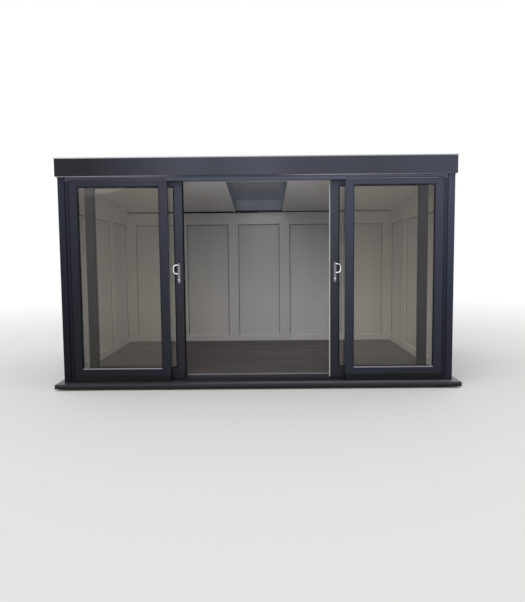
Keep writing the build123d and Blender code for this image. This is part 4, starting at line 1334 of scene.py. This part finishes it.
@dataclass
class Roof:
    """Ceiling, roof panels, rooflight, fascias, trim and gutter."""

    fall: float = 0.077
    front_y: float = -1.20
    back_y: float = 1.25
    ceiling_t: float = 0.012
    roof_t: float = 0.110
    curb_up: float = 0.040
    # The white rim of the shaft is what lies lower than this above the ceiling's underside.
    rim_off: float = -0.004
    soffit_off: float = 0.0005
    # The black seal at the back wall, which also paints the shadow of the gap there: its
    # half-length, its heights left and right, and its thickness.
    gap_half: float = 2.0095
    gap_h: Pair = (0.021, 0.014)
    gap_t: float = 0.004
    gap_off: float = 0.0003
    # The black seal on the shaft's end, which also paints the shadow under it: half its width, its
    # distances from the wall, and its heights.
    shaft_x: float = 0.355
    shaft_y: Pair = (0.0425, 0.0403)
    shaft_z: Pair = (-0.005, 0.012)
    # The rooflight's pane and the seal on it.
    pane_w: float = 0.788
    pane_t: float = 0.024
    pane_play: float = 0.002
    pane_seal_w: float = 0.012
    pane_seal_t: float = 0.002
    seam_x: tuple[float, ...] = (1.0, 1.6)
    seam_y: Pair = (-1.315, 1.349)
    seam_half: float = 0.025
    seam_t: float = 0.0014
    strap_x: tuple[float, ...] = (0.35, 1.05, 1.75)
    strap_half: float = 0.0125
    strap_t: float = 0.002
    strap_drop: float = 0.018

    @property
    def level(self) -> float:
        """Height of the ceiling's underside at Y = 0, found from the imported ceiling."""
        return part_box("ceiling_panels")[1][2] - self.ceiling_t + self.fall * self.front_y

    def build(self) -> None:
        """Dresses the roof and adds its seals, seams and straps."""
        # Foamed vinyl ceiling boards: plain matt white.
        ceiling = PlainCoat("ceiling_board", "#e2e2e2", rough=0.5, drift=0.03)
        dress(ceiling, "ceiling_panels")
        dress(ShaftBoard(self.level + self.rim_off, self.fall), "rooflight_curb")
        # Rubber roof sheet: matt near-black with a fine talc bloom.
        sheet = PlainCoat("roof_sheet", "#35363a", rough=0.8, drift=0.12, speck=0.006)
        dress(sheet, "roof_panels", "roof_upstands")
        # Grey-tinted glass, a little hazy: the sky shows through it as a flat mid grey.
        tinted = PaneGlass("tinted_roof_glass", "#595e66", "#dcdfe3", rough=0.2, ior=1.45)
        dress(tinted, "rooflight_glass")
        # The frame stands in the open all around, so all of it is foiled.
        dress(FoiledProfile("rooflight_bar", back=-9.0, run=Run.DEEP), "rooflight_frame")
        dress(RoofBoard(), "side_fascias", "back_fascia")
        # Front board: painted shade at both ends of its face; its pale underside is partly painted
        # highlight.
        face = RoofBoard(
            "front_fascia_board",
            colour="#4a4d59",
            soffit="#f4f4f4",
            soffit_z=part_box("front_fascia")[0][2] + self.soffit_off,
            left_tone=0.26,
            right_tone=0.82,
            highlight_tone=0.15,
            highlight_end=0.35,
            shine=0.1,
        )
        dress(face, "front_fascia")
        # Mill-finished aluminium edge trim: pale, soft, and it picks up the sky.
        dress(SatinMetal("satin_aluminium", "#a5a6ab", (0.3, 0.42)), "roof_trim")
        gutter = PlainCoat("gutter_vinyl", "#2e3038", rough=0.3)
        dress(gutter, "back_gutter")
        self.back_seal_and_shadow()
        self.rooflight_seal()
        self.seams(sheet)
        self.straps(gutter)

    def back_seal_and_shadow(self) -> None:
        """Adds the black seal and painted shadow where the ceiling and the shaft's end meet the
        wall.
        """
        stock = Stock()
        top = self.level - self.fall * self.back_y
        for start, height in zip((-self.gap_half, 0.0), self.gap_h):
            stock.block(
                (start, self.back_y - self.gap_t, top - height),
                (start + self.gap_half, self.back_y - self.gap_off, top - self.gap_off),
            )
        stock.block(
            (-self.shaft_x, self.back_y - self.shaft_y[0], top + self.shaft_z[0]),
            (self.shaft_x, self.back_y - self.shaft_y[1], top + self.shaft_z[1]),
        )
        stock.place("ceiling_back_seal_and_shadow", Body.POD, RUBBER)

    def rooflight_seal(self) -> None:
        """Adds the black seal that runs around the top of the rooflight glass."""
        stock = Stock()
        top = self.level + self.ceiling_t + self.roof_t + self.curb_up + self.pane_t
        verts = stock.ring(
            Facing.UP,
            (0.0, (self.front_y + self.back_y) / 2, top + OFF + self.pane_seal_t / 2),
            (self.pane_w, self.back_y - self.front_y - self.pane_play),
            self.pane_seal_w,
            self.pane_seal_t,
        )
        stock.lean(verts, self.fall)
        stock.place("rooflight_seal", Body.POD, RUBBER, "roof_cover")

    def seams(self, sheet: Finish) -> None:
        """Adds the lapped seams of the roof sheet.

        Args:
            sheet: The roof sheet's finish.
        """
        stock = Stock()
        base = self.level + self.ceiling_t + self.roof_t + OFF
        front, back = self.seam_y
        for x in self.seam_x:
            verts = stock.block(
                (x - self.seam_half, front, base), (x + self.seam_half, back, base + self.seam_t)
            )
            stock.lean(verts, self.fall)
        stock.both_sides()
        stock.place("roof_seams", Body.POD, sheet, "roof_cover")

    def straps(self, gutter: Finish) -> None:
        """Adds the straps that hold the gutter's rim.

        Args:
            gutter: The gutter's finish.
        """
        low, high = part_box("back_gutter")
        rim, back = high[2] + OFF, high[1] + self.strap_t
        stock = Stock()
        for x in self.strap_x:
            start, end = x - self.strap_half, x + self.strap_half
            stock.block((start, low[1] + OFF, rim), (end, back, rim + self.strap_t))
            stock.block((start, high[1] + OFF, high[2] - self.strap_drop), (end, back, rim))
        stock.both_sides()
        stock.place("gutter_brackets", Body.POD, gutter)


@dataclass
class Studio:
    """Pale floor, soft even light and the camera."""

    floor_half: float = 40.0
    floor_z: float = -0.001
    world_level: float = 0.75
    key_level: float = 0.9
    # The lamp's width as seen from the pod, and its turns about X, Y and Z, in degrees.
    key_angle: float = 60.0
    key_turn: Triple = (54.0, -8.0, -18.0)
    position: Triple = (0.0822, -7.2566, 1.413)
    yaw: float = -0.0042
    pitch: float = 0.0782
    roll: float = -0.009
    focal_px: float = 550.0
    photo_height: float = 602.0
    sensor: float = 36.0

    def build(self) -> None:
        """Sets the view, the world, the floor, the lamp and the camera."""
        bpy.context.scene.view_settings.view_transform = "Standard"
        self.sky()
        self.floor()
        self.lamp()
        self.camera()

    def sky(self) -> None:
        """Makes an even pale sky that shows white to the eye, in shine and through glass."""
        world = bpy.data.worlds.new("studio_sky")
        bpy.context.scene.world = world
        world.use_nodes = True
        tree = world.node_tree
        tree.nodes.clear()
        span = {"Value": background_share(tree), "To Min": self.world_level, "To Max": 1.0}
        level = add_node(tree, "ShaderNodeMapRange", span)["Result"]
        light = {"Color": linear("#ffffff"), "Strength": level}
        sky = add_node(tree, "ShaderNodeBackground", light)["Background"]
        add_node(tree, "ShaderNodeOutputWorld", {"Surface": sky})

    def floor(self) -> None:
        """Lays a wide pale floor that keeps the shadow near the pod and fades to white far off."""
        stock = Stock()
        bmesh.ops.create_grid(stock.mesh, x_segments=1, y_segments=1, size=self.floor_half)
        bmesh.ops.translate(stock.mesh, vec=(0.0, 0.0, self.floor_z), verts=stock.mesh.verts)
        stock.take_off("studio_floor", StudioFloor())

    def lamp(self) -> None:
        """Hangs one very soft high lamp to the left of the front."""
        light = bpy.data.lights.new("soft_key", "SUN")
        light.energy = self.key_level
        light.angle = math.radians(self.key_angle)
        key = bpy.data.objects.new("soft_key", light)
        key.rotation_euler = [math.radians(turn) for turn in self.key_turn]
        bpy.context.scene.collection.objects.link(key)

    def camera(self) -> None:
        """Sets the camera where the photograph was taken."""
        ahead = Vector((math.sin(self.yaw), math.cos(self.yaw), 0.0))
        right = Vector((math.cos(self.yaw), -math.sin(self.yaw), 0.0))
        up = Vector((0.0, 0.0, 1.0))
        look = math.cos(self.pitch) * ahead - math.sin(self.pitch) * up
        top = math.sin(self.pitch) * ahead + math.cos(self.pitch) * up
        level = math.cos(self.roll) * right + math.sin(self.roll) * top
        rise = -math.sin(self.roll) * right + math.cos(self.roll) * top
        data = bpy.data.cameras.new("photo_camera")
        data.sensor_fit = "VERTICAL"
        data.sensor_height = self.sensor
        data.lens = self.sensor * self.focal_px / self.photo_height
        camera = bpy.data.objects.new("photo_camera", data)
        turn = Matrix((level, rise, -look)).transposed().to_4x4()
        camera.matrix_world = Matrix.Translation(Vector(self.position)) @ turn
        bpy.context.scene.collection.objects.link(camera)
        bpy.context.scene.camera = camera


def main() -> None:
    """Builds the sub-assemblies in order and reports each piece."""
    logging.basicConfig(level=logging.INFO, format="%(name)s: %(message)s")
    left, right = SlidingDoor(Body.LEFT_DOOR), SlidingDoor(Body.RIGHT_DOOR)
    for assembly in (Studio(), FloorAndBase(), FramedWalls(), DoorFrame(), left, right, Roof()):
        assembly.build()


if __name__ == "__main__":
    main()
